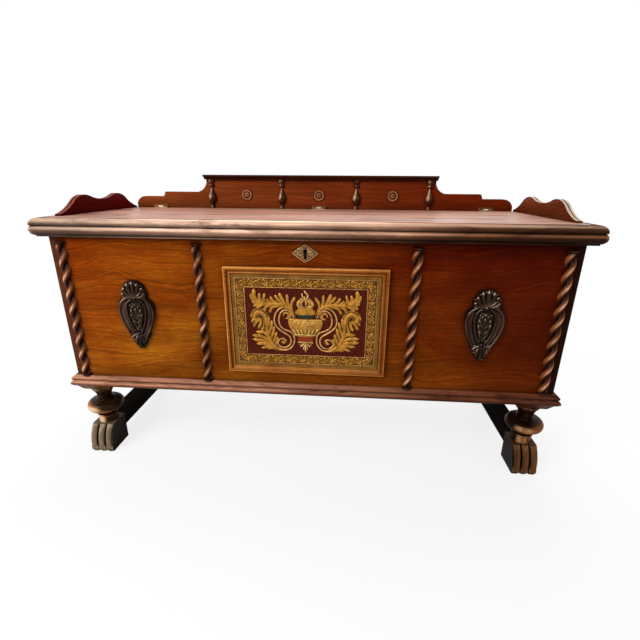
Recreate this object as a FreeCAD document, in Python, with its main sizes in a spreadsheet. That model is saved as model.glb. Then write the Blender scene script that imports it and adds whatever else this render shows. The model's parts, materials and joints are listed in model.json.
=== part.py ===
import FreeCAD
import Part
import math
import os
import re
import Sketcher

# A cedar chest on a turned trestle base: panelled case with rope-twist columns,
# hinged lid with a moulded edge, gallery board at the back. Millimetres, Z up,
# origin on the floor under the middle of the whole piece, front towards -Y.

SIZES = (
    ("case_width", 1120, "outside width of the case"),
    ("case_depth", 382, "front face of the case to its back face"),
    ("case_high", 353, "height of the case walls"),
    ("wall", 19, "thickness of the case walls and gallery board"),
    ("lining", 6, "thickness of the cedar lining"),
    ("lining_drop", 6, "lining stops this far under the top of the walls"),
    ("floor_thick", 12, "thickness of the case floor"),
    ("foot_high", 70, "height of a foot block"),
    ("leg_high", 98, "height of a turned leg between foot and bearer"),
    ("bearer_high", 15, "thickness of a bearer"),
    ("base_high", 27, "thickness of the base moulding"),
    ("base_reach", 14.5, "base moulding past the case"),
    ("base_wide", 60, "base moulding under the case"),
    ("base_reed", 3.6, "bulge of a base reed"),
    ("lid_thick", 19, "thickness of the lid panel"),
    ("lid_gap", 0.5, "lid panel above the walls when shut"),
    ("lid_reach", 24, "lid moulding past the case"),
    ("lip_gap", 2, "lid moulding clear of the case face"),
    ("lip_high", 38.5, "height of the lid moulding"),
    ("lid_back_gap", 1.5, "lid clear of the gallery board"),
    ("lid_open", 70, "degrees that the lid opens"),
    ("leg_inset", 37, "leg axis in from the side of the case"),
    ("leg_setback", 28, "front leg axis behind the case front"),
    ("leg_back_inset", 50, "back leg axis in from the case back"),
    ("bun_radius", 42.5, "largest radius of a leg"),
    ("bun_edge", 32, "radius of a bun's flat top and bottom"),
    ("bun_low", 33, "bun above the foot"),
    ("bun_high", 26, "height of the bun"),
    ("collar_radius", 23, "radius of the ring on the foot"),
    ("collar_high", 22, "height of the ring on the foot"),
    ("neck_radius", 15, "radius of a leg above and below the bun"),
    ("cone_radius", 27, "radius of a leg under the bearer"),
    ("tenon_radius", 12, "radius of a leg tenon"),
    ("tenon_fit", 0.2, "clearance around a leg tenon"),
    ("tenon_up", 14, "leg tenon in the bearer"),
    ("tenon_down", 26, "leg tenon in the foot"),
    ("bearer_wide", 86, "width of a bearer at the top"),
    ("bearer_bevel", 10, "slope of a bearer's sides and ends"),
    ("bearer_reach", 7, "bearer end ahead of the case front"),
    ("foot_wide", 55, "width of a foot"),
    ("foot_toe", 46, "toe of a foot ahead of the leg axis"),
    ("foot_brow", 26, "top edge of a foot ahead of the leg axis"),
    ("foot_heel", 25, "back of a foot behind the leg axis"),
    ("reed_deep", 3, "depth of the grooves in a foot"),
    ("reed_gap", 3, "width of the grooves in a foot"),
    ("stretcher_wide", 40, "width of a stretcher"),
    ("stretcher_high", 38, "height of a stretcher"),
    ("stretcher_low", 30, "stretcher above the floor"),
    ("twist_radius", 11.3, "radius over the strands of a column"),
    ("strand_radius", 6.6, "radius of one strand"),
    ("twist_lead", 74, "height of one full turn"),
    ("twist_high", 322, "height of a column"),
    ("twist_cap", 5, "plain turned ends of a column"),
    ("twist_inset", 25, "outer columns in from the side of the case"),
    ("twist_gap", 55, "inner columns from the panel frame"),
    ("frame_half", 178, "half width of the panel frame"),
    ("frame_low", 30, "panel frame above the case bottom"),
    ("frame_high", 246, "height of the panel frame"),
    ("frame_band", 16, "width of a frame strip"),
    ("frame_thick", 11, "thickness of a frame strip"),
    ("panel_thick", 5, "thickness of the carved panel"),
    ("cartouche_mid", 158, "cartouche centre above the case bottom"),
    ("cartouche_half", 81, "half height of a cartouche"),
    ("cartouche_wide", 41, "half width of a cartouche"),
    ("cartouche_thick", 5, "thickness of a cartouche"),
    ("escutcheon_mid", 306, "keyhole plate above the case bottom"),
    ("escutcheon_wide", 57, "width of the keyhole plate"),
    ("escutcheon_high", 39, "height of the keyhole plate"),
    ("escutcheon_thick", 1.5, "thickness of the keyhole plate"),
    ("keyhole_radius", 4.2, "round part of the keyhole"),
    ("keyhole_drop", 17, "length of the keyhole's slot"),
    ("keyhole_slot", 4.6, "width of the keyhole's slot"),
    ("lock_wide", 54, "width of the lock"),
    ("lock_high", 66, "height of the lock"),
    ("lock_deep", 13, "depth of the lock"),
    ("bolt_wide", 16, "width of the bolt"),
    ("bolt_thick", 6, "thickness of the bolt"),
    ("bolt_long", 40, "length of the bolt"),
    ("bolt_throw", 9, "travel of the bolt"),
    ("bolt_fit", 0.4, "clearance around the bolt"),
    ("strike_thick", 2, "thickness of the strike plate"),
    ("board_inset", 17, "gallery board in from the side of the case"),
    ("board_end", 12, "gallery board's ends above the lid"),
    ("board_low", 32, "low shoulder above the lid"),
    ("board_round", 25, "rounded end of the low shoulder"),
    ("board_shelf", 59, "length of the low shoulder"),
    ("board_step", 6, "length of the step"),
    ("board_mid", 45, "high shoulder above the lid"),
    ("board_shoulder", 90, "length of the high shoulder"),
    ("board_sweep", 35, "length of the curve up to the raised middle"),
    ("board_spring", 71, "curve's upper end above the lid"),
    ("board_high", 79.5, "gallery board above the lid"),
    ("cornice_over", 3, "cornice past the raised middle"),
    ("cornice_high", 12.5, "height of the cornice"),
    ("cornice_reach", 20, "cornice ahead of the board"),
    ("spindle_inset", 16, "outer spindles in from the raised middle's ends"),
    ("spindle_share", 0.343, "inner spindles' share of the outer ones' distance"),
    ("spindle_lift", 2, "spindles clear of the lid"),
    ("spindle_radius", 12, "largest radius of a spindle"),
    ("rosette_mid", 38, "rosette centres above the lid"),
    ("rosette_radius", 15.5, "radius of a rosette"),
    ("rosette_thick", 5, "thickness of a rosette"),
    ("gallery_inset", 14.5, "inner face of a side gallery in from the side of the case"),
    ("gallery_thick", 12.5, "thickness of a side gallery"),
    ("gallery_start", 30, "side gallery behind the case front"),
    ("gallery_peak", 43, "height of a side gallery's humps"),
    ("gallery_dip", 31, "height of a side gallery's dip"),
    ("gallery_groove", 2.5, "groove along a side gallery's top"),
    ("hinge_inset", 90, "outer hinges in from the side of the case"),
    ("hinge_long", 40, "length of a hinge"),
    ("hinge_rise", 3.2, "hinge axis above the lid and ahead of the board"),
    ("knuckle_radius", 2.8, "radius of a knuckle"),
    ("knuckle_gap", 0.4, "gap between knuckles"),
    ("leaf_thick", 1.3, "thickness of a hinge leaf"),
    ("leaf_wide", 6.8, "leaf measured from the hinge axis"),
    ("pin_radius", 1.2, "radius of a hinge pin"),
    ("pin_fit", 0.05, "running clearance of a hinge pin"),
    ("screw_radius", 1, "radius of a screw's shank"),
    ("screw_head", 1.5, "radius of a screw's head"),
    ("screw_rise", 0.9, "height of a screw's head"),
    ("screw_long", 12, "length of a screw in the wood"),
    ("screw_fit", 0.1, "clearance around a screw"),
    ("screw_side", 12, "screws from the middle of a hinge"),
    ("screw_out", 4.9, "screws from the hinge axis"),
    ("stay_radius", 150, "middle radius of a lid stay"),
    ("stay_half", 5, "half width of a lid stay"),
    ("stay_thick", 3, "thickness of a lid stay"),
    ("stay_inset", 2.5, "lid stay clear of the lining"),
    ("stay_clear", 0.5, "clearance around a lid stay"),
    ("stay_stop", 2.5, "degrees taken by a stay's end stop"),
    ("stay_play", 0.5, "degrees between a stop and its guide"),
    ("guide_drop", 3, "stay guide under a stay's flange"),
    ("flange_thick", 3, "thickness of a stay's flange"),
    ("guide_span", 4, "degrees taken by a stay guide"),
    ("guide_rim", 3.5, "metal around a stay guide's slot"),
)

DERIVED = {
    "half_width": "case_width / 2",
    "case_front": "0 - (case_depth - lid_reach) / 2",
    "case_back": "case_front + case_depth",
    "base_under": "foot_high + leg_high + bearer_high",
    "case_under": "base_under + base_high",
    "case_top": "case_under + case_high",
    "lid_under": "case_top + lid_gap",
    "lid_top": "lid_under + lid_thick",
    "board_face": "case_back - wall",
    "lid_back": "board_face - lid_back_gap",
    "inner_half": "half_width - wall",
    "lined_half": "inner_half - lining",
    "inner_front": "case_front + wall",
    "lined_front": "inner_front + lining",
    "lined_back": "board_face - lining",
    "lined_floor": "case_under + floor_thick + lining",
    "lining_top": "case_top - lining_drop",
    "leg_side": "half_width - leg_inset",
    "leg_front": "case_front + leg_setback",
    "leg_back": "case_back - leg_back_inset",
    "twist_outer": "half_width - twist_inset",
    "twist_inner": "frame_half + twist_gap",
    "cartouche_side": "(twist_inner + twist_outer) / 2",
    "board_half": "half_width - board_inset",
    "board_low_half": "board_half - board_round",
    "board_step_half": "board_low_half - board_shelf",
    "board_mid_half": "board_step_half - board_step",
    "board_curve_half": "board_mid_half - board_shoulder",
    "board_top_half": "board_curve_half - board_sweep",
    "cornice_half": "board_top_half + cornice_over",
    "spindle_outer": "board_top_half - spindle_inset",
    "spindle_inner": "spindle_outer * spindle_share",
    "rosette_side": "(spindle_inner + spindle_outer) / 2",
    "gallery_half": "half_width - gallery_inset",
    "hinge_side": "half_width - hinge_inset",
    "axis_y": "board_face - hinge_rise",
    "axis_z": "lid_top + hinge_rise",
    "lock_back": "inner_front",
    "lock_front": "inner_front - lock_deep",
    "bolt_mid": "inner_front - lock_deep / 2",
}

doc = FreeCAD.newDocument("cedar_chest")
sheet = doc.addObject("Spreadsheet::Sheet", "Sizes")
for row, (alias, size, note) in enumerate(SIZES, start=1):
    sheet.set(f"A{row}", alias)
    sheet.set(f"B{row}", str(size))
    sheet.set(f"C{row}", note)
    sheet.setAlias(f"B{row}", alias)
doc.recompute()

ALIASES = {alias for alias, size, note in SIZES}
NODES = []


def full(text):
    """Spell out an expression in cells of the sheet."""
    def swap(match):
        word = match.group(0)
        if word in DERIVED:
            return "(" + full(DERIVED[word]) + ")"
        if word in ALIASES:
            return "Sizes." + word
        return word
    return re.sub(r"[a-z_]+", swap, text)


def val(text):
    """Number that an expression stands for."""
    return float(sheet.evalExpression(full(text)))


def bind(item, **links):
    """Tie properties of an object to the sheet."""
    for name, text in links.items():
        item.setExpression(name, full(text))
    return item


def place(item, x="0", y="0", z="0", turn=None):
    """Put an object at a point given by expressions."""
    if turn is not None:
        item.Placement = FreeCAD.Placement(FreeCAD.Vector(), turn)
    item.setExpression("Placement.Base.x", full(x))
    item.setExpression("Placement.Base.y", full(y))
    item.setExpression("Placement.Base.z", full(z))
    return item


def keep(item, label):
    """Name an object as a finished piece."""
    item.Label = label
    NODES.append(item)
    return item


def block(name, x, y, z):
    """Rectangular block between pairs of expressions."""
    item = doc.addObject("Part::Box", name)
    bind(item, Length=f"({x[1]}) - ({x[0]})")
    bind(item, Width=f"({y[1]}) - ({y[0]})", Height=f"({z[1]}) - ({z[0]})")
    return place(item, x[0], y[0], z[0])


ALONG_X = FreeCAD.Rotation(FreeCAD.Vector(0, 1, 0), 90)
ALONG_Y = FreeCAD.Rotation(FreeCAD.Vector(1, 0, 0), -90)
UPRIGHT = FreeCAD.Rotation()


def rod(name, radius, length, x, y, z, turn=UPRIGHT):
    """Round bar from a point along Z, or along another axis."""
    item = doc.addObject("Part::Cylinder", name)
    bind(item, Radius=radius, Height=length)
    return place(item, x, y, z, turn)


def cut(name, base, tool):
    """First shape with the second taken away."""
    item = doc.addObject("Part::Cut", name)
    item.Base = base
    item.Tool = tool
    return item


def join(name, items):
    """Shapes made into one solid."""
    item = doc.addObject("Part::MultiFuse", name)
    item.Shapes = items
    return item


def group(name, items):
    """Shapes kept apart in one piece."""
    item = doc.addObject("Part::Compound", name)
    item.Links = items
    return item


def body(name):
    return doc.addObject("PartDesign::Body", name)


def plane(owner, role):
    for item in owner.Origin.OriginFeatures:
        if item.Role == role:
            return item
    raise ValueError(role)


def outline(owner, name, role, points, offset=None):
    """Closed sketch through points (u, v) or (u, v, sag of an arc to that point)."""
    sketch = owner.newObject("Sketcher::SketchObject", name)
    sketch.AttachmentSupport = [(plane(owner, role), "")]
    sketch.MapMode = "FlatFace"
    if offset is not None:
        sketch.setExpression("AttachmentOffset.Base.z", full(offset))
    spots = [FreeCAD.Vector(val(point[0]), val(point[1]), 0) for point in points]
    ends = []
    for index, point in enumerate(points):
        start = spots[index - 1]
        stop = spots[index]
        if len(point) == 2:
            edge = Part.LineSegment(start, stop)
        else:
            run = stop - start
            side = FreeCAD.Vector(-run.y, run.x, 0).normalize()
            middle = (start + stop) * 0.5 + side * val(point[2])
            edge = Part.Arc(start, middle, stop)
        number = sketch.addGeometry(edge)
        begins = (sketch.getPoint(number, 1) - start).Length < 1e-4
        ends.append((number, 1, 2) if begins else (number, 2, 1))
    for index, point in enumerate(points):
        number, first, last = ends[index]
        after, after_first, after_last = ends[(index + 1) % len(points)]
        sketch.addConstraint(Sketcher.Constraint("Coincident", number, last, after, after_first))
        for kind, text, value in (("DistanceX", point[0], spots[index].x),
                                  ("DistanceY", point[1], spots[index].y)):
            made = sketch.addConstraint(Sketcher.Constraint(kind, -1, 1, number, last, value))
            sketch.setExpression(f"Constraints[{made}]", full(text))
        if len(point) == 3:
            before = points[index - 1]
            chord = f"((({point[0]}) - ({before[0]}))^2 + (({point[1]}) - ({before[1]}))^2)"
            text = f"{chord} / (8 * abs({point[2]})) + abs({point[2]}) / 2"
            made = sketch.addConstraint(Sketcher.Constraint("Radius", number, val(text)))
            sketch.setExpression(f"Constraints[{made}]", full(text))
    return sketch


def pad(owner, name, sketch, length, both=True, back=False):
    item = owner.newObject("PartDesign::Pad", name)
    item.Profile = sketch
    item.SideType = "Symmetric" if both else "One side"
    item.Reversed = back
    bind(item, Length=length)
    return item


def pocket(owner, name, sketch):
    """Cut right through on both sides of the sketch."""
    item = owner.newObject("PartDesign::Pocket", name)
    item.Profile = sketch
    item.SideType = "Symmetric"
    item.Type = "ThroughAll"
    return item


def turned(owner, name, sketch, angle=360.0, back=False):
    """Sketch spun about its own upright axis."""
    item = owner.newObject("PartDesign::Revolution", name)
    item.Profile = sketch
    item.ReferenceAxis = (sketch, ["V_Axis"])
    item.Angle = angle
    item.Reversed = back
    return item


def strip(name, section, wide, long, near, far):
    """Moulded strip along X: Y runs in from its outer edge, Z up; mitred where asked."""
    owner = body(name)
    pad(owner, name + "_run", outline(owner, name + "_section", "YZ_Plane", section), long)
    for mitred, sign in ((near, "0 - "), (far, "")):
        if mitred:
            tip = f"{sign}({long}) / 2"
            heel = f"{sign}(({long}) / 2 - ({wide}))"
            clear = f"{sign}(({long}) / 2 + 1)"
            corner = ((tip, "0"), (heel, wide), (clear, wide), (clear, "0"))
            sign_word = "near" if sign else "far"
            sketch = outline(owner, f"{name}_{sign_word}_line", "XY_Plane", corner)
            pocket(owner, f"{name}_{sign_word}_mitre", sketch)
    return owner


def about(axis, angle):
    return FreeCAD.Rotation(FreeCAD.Vector(*axis), angle)


Z_AXIS = (0, 0, 1)
Y_AXIS = (0, 1, 0)
X_AXIS = (1, 0, 0)

# Keyhole through the front and the mortise for the lock behind it.
keyhole_z = "case_under + escutcheon_mid"


def keyhole(name, y, thick):
    """Round hole with a slot below it, along Y from a given plane."""
    hole = rod(name + "_round", "keyhole_radius", thick, "0", y, f"{keyhole_z} + keyhole_radius", ALONG_Y)
    slot = block(name + "_slot", ("0 - keyhole_slot / 2", "keyhole_slot / 2"), (y, f"({y}) + ({thick})"),
                 (f"{keyhole_z} + keyhole_radius - keyhole_drop", f"{keyhole_z} + keyhole_radius"))
    return join(name, [hole, slot])


# Case: front and back boards run full width, the ends stand between them.
whole_width = ("0 - half_width", "half_width")
between_ends = ("0 - inner_half", "inner_half")
between_boards = ("inner_front", "board_face")
wall_z = ("case_under", "case_top")
front_blank = block("front_blank", whole_width, ("case_front", "inner_front"), wall_z)
lock_room = block("lock_room", ("0 - lock_wide / 2", "lock_wide / 2"), ("lock_front", "lock_back"),
                  ("case_top - lock_high", "case_top"))
front_holes = join("front_holes", [lock_room, keyhole("front_keyhole", "case_front", "wall")])
keep(cut("front_board", front_blank, front_holes), "front_panel")
keep(block("back_board", whole_width, ("board_face", "case_back"), wall_z), "back_panel")
keep(block("left_end", ("0 - half_width", "0 - inner_half"), between_boards, wall_z), "left_end_panel")
keep(block("right_end", ("inner_half", "half_width"), between_boards, wall_z), "right_end_panel")
keep(block("floor_board", between_ends, between_boards, ("case_under", "case_under + floor_thick")),
     "floor_panel")

# Cedar lining.
lining_z = ("lined_floor", "lining_top")
keep(block("floor_cedar", between_ends, between_boards, ("case_under + floor_thick", "lined_floor")),
     "lining_floor")
keep(block("front_cedar", between_ends, ("inner_front", "lined_front"), lining_z), "lining_front")
keep(block("back_cedar", between_ends, ("lined_back", "board_face"), lining_z), "lining_back")
between_linings = ("lined_front", "lined_back")
keep(block("left_cedar", ("0 - inner_half", "0 - lined_half"), between_linings, lining_z), "lining_left")
keep(block("right_cedar", ("lined_half", "inner_half"), between_linings, lining_z), "lining_right")

# Base moulding: boards under the case with two reeds along the outer edge.
base_whole = "base_reach + base_wide"
base_section = (
    (base_whole, "0"),
    (base_whole, "base_high"),
    ("base_reach * 0.62", "base_high"),
    ("base_reach * 0.42", "base_high * 0.9"),
    ("base_reach * 0.34", "base_high * 0.56", "0 - base_reed * 0.75"),
    ("base_reach * 0.3", "base_high * 0.52"),
    ("base_reed", "base_high * 0.5"),
    ("base_reed", "base_high * 0.08", "0 - base_reed"),
    ("base_reed + 2", "0"),
)
base_front_long = "case_width + 2 * base_reach"
base_side_long = "case_depth + base_reach"
base_side_mid = "(case_front - base_reach + case_back) / 2"
piece = keep(strip("base_front", base_section, base_whole, base_front_long, True, True), "base_moulding_front")
place(piece, "0", "case_front - base_reach", "base_under")
piece = keep(strip("base_right", base_section, base_whole, base_side_long, True, False), "base_moulding_right")
place(piece, "half_width + base_reach", base_side_mid, "base_under", about(Z_AXIS, 90))
piece = keep(strip("base_left", base_section, base_whole, base_side_long, False, True), "base_moulding_left")
place(piece, "0 - half_width - base_reach", base_side_mid, "base_under", about(Z_AXIS, -90))
keep(block("base_back", ("0 - half_width + base_wide", "half_width - base_wide"),
           ("case_back - base_wide", "case_back"), ("base_under", "case_under")), "base_rail_back")

# Trestle: bevelled bearers with bored sockets, turned legs, reeded scroll feet, stretchers.
bearer_z = "foot_high + leg_high"
bearer_run = "case_depth + bearer_reach"
for side, sign in (("left", "0 - "), ("right", "")):
    middle = f"{sign}leg_side"
    blank = doc.addObject("Part::Wedge", f"bearer_{side}_blank")
    bind(blank, Xmin="bearer_bevel - bearer_wide / 2", Xmax="bearer_wide / 2 - bearer_bevel")
    bind(blank, X2min="0 - bearer_wide / 2", X2max="bearer_wide / 2")
    bind(blank, Zmin="bearer_bevel", Zmax=f"{bearer_run} - bearer_bevel", Z2min="0", Z2max=bearer_run)
    bind(blank, Ymin="0", Ymax="bearer_high")
    place(blank, middle, "case_back", bearer_z, about(X_AXIS, 90))
    sockets = []
    for end in ("front", "back"):
        sockets.append(rod(f"bearer_{side}_{end}_socket", "tenon_radius + tenon_fit", "tenon_up + tenon_fit",
                           middle, f"leg_{end}", bearer_z))
    holes = join(f"bearer_{side}_sockets", sockets)
    keep(cut(f"bearer_{side}_bored", blank, holes), f"bearer_{side}")
    keep(block(f"stretcher_{side}_bar", (f"{middle} - stretcher_wide / 2", f"{middle} + stretcher_wide / 2"),
               ("leg_front + foot_heel", "leg_back - foot_heel"),
               ("stretcher_low", "stretcher_low + stretcher_high")), f"stretcher_{side}")

bun_top = "(bun_low + bun_high)"
leg_section = (
    ("0", "0 - tenon_down"),
    ("tenon_radius", "0 - tenon_down"),
    ("tenon_radius", "0"),
    ("collar_radius", "0"),
    ("collar_radius - 2", "collar_high * 0.66"),
    ("collar_radius - 0.5", "collar_high * 0.72"),
    ("collar_radius - 0.5", "collar_high * 0.96", "0 - collar_high * 0.06"),
    ("neck_radius + 1.5", "collar_high"),
    ("neck_radius", "bun_low - 4", "1"),
    ("bun_edge", "bun_low"),
    ("bun_edge", bun_top, "bun_edge - bun_radius"),
    ("neck_radius + 4", f"{bun_top} + 2"),
    ("neck_radius + 4", f"{bun_top} + 5", "0 - 1"),
    ("neck_radius", f"{bun_top} + 6"),
    ("cone_radius", "leg_high - 5", "2"),
    ("cone_radius", "leg_high"),
    ("tenon_radius", "leg_high"),
    ("tenon_radius", "leg_high + tenon_up"),
    ("0", "leg_high + tenon_up"),
)


def foot_face(set_back):
    """Side outline of a foot: hollow front that kicks out to a rounded toe; Y from the leg axis."""
    return (
        ("foot_heel", "0"),
        ("foot_heel", "foot_high"),
        (f"0 - foot_brow + {set_back}", "foot_high"),
        (f"0 - foot_toe + {set_back}", "foot_high * 0.26", "foot_high * 0.075"),
        (f"0 - foot_toe + 4 + {set_back}", "0", "0 - foot_high * 0.06"),
    )


reed_wide = "(foot_wide - 2 * reed_gap) / 3"
for end, turn in (("front", 0), ("back", 180)):
    for side, sign in (("left", "0 - "), ("right", "")):
        corner = f"{end}_{side}"
        leg = keep(body(f"{corner}_turning"), f"leg_{corner}")
        turned(leg, f"{corner}_spin", outline(leg, f"{corner}_half", "XZ_Plane", leg_section))
        place(leg, f"{sign}leg_side", f"leg_{end}", "foot_high")
        foot = keep(body(f"{corner}_scroll"), f"foot_{corner}")
        core = outline(foot, f"{corner}_core_face", "YZ_Plane", foot_face("reed_deep"))
        pad(foot, f"{corner}_core", core, "foot_wide")
        for number, shift in enumerate((-1, 0, 1)):
            face = outline(foot, f"{corner}_reed_face_{number}", "YZ_Plane", foot_face("0"),
                           f"{shift} * ({reed_wide} + reed_gap)")
            pad(foot, f"{corner}_reed_{number}", face, reed_wide)
        socket = foot.newObject("Sketcher::SketchObject", f"{corner}_socket_ring")
        socket.AttachmentSupport = [(plane(foot, "XY_Plane"), "")]
        socket.MapMode = "FlatFace"
        socket.setExpression("AttachmentOffset.Base.z", full("foot_high"))
        radius = val("tenon_radius + tenon_fit")
        socket.addGeometry(Part.Circle(FreeCAD.Vector(), FreeCAD.Vector(0, 0, 1), radius))
        socket.addConstraint(Sketcher.Constraint("Coincident", 0, 3, -1, 1))
        socket.addConstraint(Sketcher.Constraint("Radius", 0, radius))
        socket.setExpression("Constraints[1]", full("tenon_radius + tenon_fit"))
        bore = foot.newObject("PartDesign::Pocket", f"{corner}_socket")
        bore.Profile = socket
        bind(bore, Length="tenon_down + tenon_fit")
        place(foot, f"{sign}leg_side", f"leg_{end}", "0", about(Z_AXIS, turn))

# Rope-twist columns: two strands wound right-handed about one axis, split in half.
strand_shift = val("twist_radius - strand_radius")
valley = math.sqrt(val("strand_radius") ** 2 - strand_shift ** 2)
twist_run = val("twist_high - 2 * twist_cap")
near_side = FreeCAD.Vector(0, -valley, 0)
far_side = FreeCAD.Vector(0, valley, 0)
strands = Part.Wire([
    Part.Arc(near_side, FreeCAD.Vector(val("twist_radius"), 0, 0), far_side).toShape(),
    Part.Arc(far_side, FreeCAD.Vector(-val("twist_radius"), 0, 0), near_side).toShape(),
])
spine = Part.Wire([Part.makeLine(FreeCAD.Vector(), FreeCAD.Vector(0, 0, twist_run))])
winding = Part.Wire(Part.makeHelix(val("twist_lead"), twist_run, val("twist_radius")).Edges)
sweep = Part.BRepOffsetAPI.MakePipeShell(spine)
sweep.setAuxiliarySpine(winding, True, 0)
sweep.add(strands)
sweep.build()
sweep.makeSolid()
rope = sweep.shape()
rope.translate(FreeCAD.Vector(0, 0, val("twist_cap")))
front_half = Part.makeBox(4 * val("twist_radius"), 2 * val("twist_radius"), val("twist_high"),
                          FreeCAD.Vector(-2 * val("twist_radius"), -2 * val("twist_radius"), 0))
cap_line = Part.makePolygon([
    FreeCAD.Vector(0, 0, 0),
    FreeCAD.Vector(val("twist_radius"), 0, 0),
    FreeCAD.Vector(val("twist_radius"), 0, val("twist_cap * 0.6")),
    FreeCAD.Vector(val("twist_radius * 0.8"), 0, val("twist_cap")),
    FreeCAD.Vector(0, 0, val("twist_cap")),
    FreeCAD.Vector(0, 0, 0),
])
foot_cap = Part.Face(cap_line).revolve(FreeCAD.Vector(), FreeCAD.Vector(0, 0, 1), 360)
head_cap = foot_cap.mirror(FreeCAD.Vector(0, 0, val("twist_high") / 2), FreeCAD.Vector(0, 0, 1))
column = rope.common(front_half).Solids[0]
column = column.fuse([foot_cap.common(front_half), head_cap.common(front_half)]).removeSplitter()
for row, distance in (("outer", "twist_outer"), ("inner", "twist_inner")):
    for side, sign in (("left", "0 - "), ("right", "")):
        piece = doc.addObject("Part::Feature", f"twist_{row}_{side}")
        piece.Shape = column.Solids[0]
        place(keep(piece, f"twist_column_{row}_{side}"), f"{sign}{distance}", "case_front", "case_under")

# Panel frame: four mitred strips round a carved panel.
frame_section = (
    ("0", "0"),
    ("frame_band", "0"),
    ("frame_band", "frame_thick * 0.45"),
    ("frame_band * 0.86", "frame_thick * 0.55", "0 - 0.5"),
    ("frame_band * 0.5", "frame_thick * 0.72", "1"),
    ("frame_band * 0.44", "frame_thick * 0.95"),
    ("frame_band * 0.12", "frame_thick * 0.95", "0 - frame_thick * 0.05"),
    ("0", "frame_thick * 0.7", "0 - 0.7"),
)
frame_mid = "case_under + frame_low + frame_high / 2"
ON_FRONT = about(X_AXIS, 90)
for name, long, x, z, turn in (
        ("bottom", "2 * frame_half", "0", "case_under + frame_low", 0),
        ("top", "2 * frame_half", "0", "case_under + frame_low + frame_high", 180),
        ("left", "frame_high", "0 - frame_half", frame_mid, 90),
        ("right", "frame_high", "frame_half", frame_mid, -90)):
    piece = keep(strip(f"frame_{name}", frame_section, "frame_band", long, True, True), f"panel_frame_{name}")
    place(piece, x, "case_front", z, about(Y_AXIS, turn).multiply(ON_FRONT))
keep(block("carved_board", ("frame_band - frame_half", "frame_half - frame_band"),
           ("case_front - panel_thick", "case_front"),
           ("case_under + frame_low + frame_band", "case_under + frame_low + frame_high - frame_band")),
     "carved_panel")


def mirrored(right):
    """Right half of an outline, from the bottom up, closed by its mirror image."""
    left = []
    for index in range(len(right) - 1, -1, -1):
        sag = right[index + 1][2:] if index + 1 < len(right) else ()
        left.append((f"0 - ({right[index][0]})", right[index][1]) + sag)
    return right + tuple(left)


# Cartouches: shield with a leafy head, swelling sides and a narrow leafy tail.
ear = "cartouche_wide"
rise = "cartouche_half"
shield = mirrored((
    (f"{ear} * 0.08", f"0 - {rise}"),
    (f"{ear} * 0.38", f"0 - {rise} * 0.73", f"0 - {rise} * 0.03"),
    (f"{ear} * 0.6", f"0 - {rise} * 0.5", f"0 - {rise} * 0.04"),
    (f"{ear} * 0.66", f"0 - {rise} * 0.28", f"{rise} * 0.02"),
    (ear, f"{rise} * 0.27", f"0 - {rise} * 0.05"),
    (f"{ear} * 0.62", f"{rise} * 0.5", f"0 - {rise} * 0.06"),
    (f"{ear} * 0.64", f"{rise} * 0.72", f"0 - {rise} * 0.04"),
    (f"{ear} * 0.18", rise, f"0 - {rise} * 0.06"),
))
for side, sign in (("left", "0 - "), ("right", "")):
    piece = keep(body(f"shield_{side}"), f"cartouche_{side}")
    face = outline(piece, f"shield_{side}_face", "XZ_Plane", shield)
    pad(piece, f"shield_{side}_plate", face, "cartouche_thick", both=False)
    place(piece, f"{sign}cartouche_side", "case_front", "case_under + cartouche_mid")

# Keyhole plate, lock, bolt and strike.
diamond = body("escutcheon_body")
across = "escutcheon_wide / 2"
upward = "escutcheon_high / 2"
diamond_face = (
    (across, "0"),
    (f"{across} * 0.42", f"{upward} * 0.62"),
    ("0", upward),
    (f"0 - {across} * 0.42", f"{upward} * 0.62"),
    (f"0 - ({across})", "0"),
    (f"0 - {across} * 0.42", f"0 - {upward} * 0.62"),
    ("0", f"0 - ({upward})"),
    (f"{across} * 0.42", f"0 - {upward} * 0.62"),
)
pad(diamond, "escutcheon_plate", outline(diamond, "escutcheon_face", "XZ_Plane", diamond_face),
    "escutcheon_thick", both=False)
place(diamond, "0", "case_front", keyhole_z)
plate_hole = keyhole("plate_keyhole", "case_front - escutcheon_thick", "escutcheon_thick")
keep(cut("escutcheon_cut", diamond, plate_hole), "escutcheon")
lock_block = block("lock_block", ("0 - lock_wide / 2", "lock_wide / 2"), ("lock_front", "lock_back"),
                   ("case_top - lock_high", "case_top"))
bolt_room = block("bolt_room", ("0 - bolt_wide / 2 - bolt_fit", "bolt_wide / 2 + bolt_fit"),
                  ("bolt_mid - bolt_thick / 2 - bolt_fit", "bolt_mid + bolt_thick / 2 + bolt_fit"),
                  ("case_top - bolt_long - 2 * bolt_fit", "case_top"))
keep(cut("lock_body", lock_block, bolt_room), "lock_case")
keep(block("bolt_bar", ("0 - bolt_wide / 2", "bolt_wide / 2"),
           ("bolt_mid - bolt_thick / 2", "bolt_mid + bolt_thick / 2"),
           ("case_top - bolt_long - bolt_fit", "case_top - bolt_fit")), "lock_bolt")


def strike_hole(name, z):
    """Slot that takes the raised bolt."""
    return block(name, ("0 - bolt_wide / 2 - 1", "bolt_wide / 2 + 1"),
                 ("bolt_mid - bolt_thick / 2 - 1", "bolt_mid + bolt_thick / 2 + 1"), z)


def strike_block(name):
    return block(name, ("0 - lock_wide / 2", "lock_wide / 2"), ("lock_front", "lock_back"),
                 ("lid_under", "lid_under + strike_thick"))


strike_slot = strike_hole("strike_slot", ("lid_under", "lid_under + strike_thick"))
keep(cut("strike_plate", strike_block("strike_blank"), strike_slot), "lock_strike")

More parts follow.
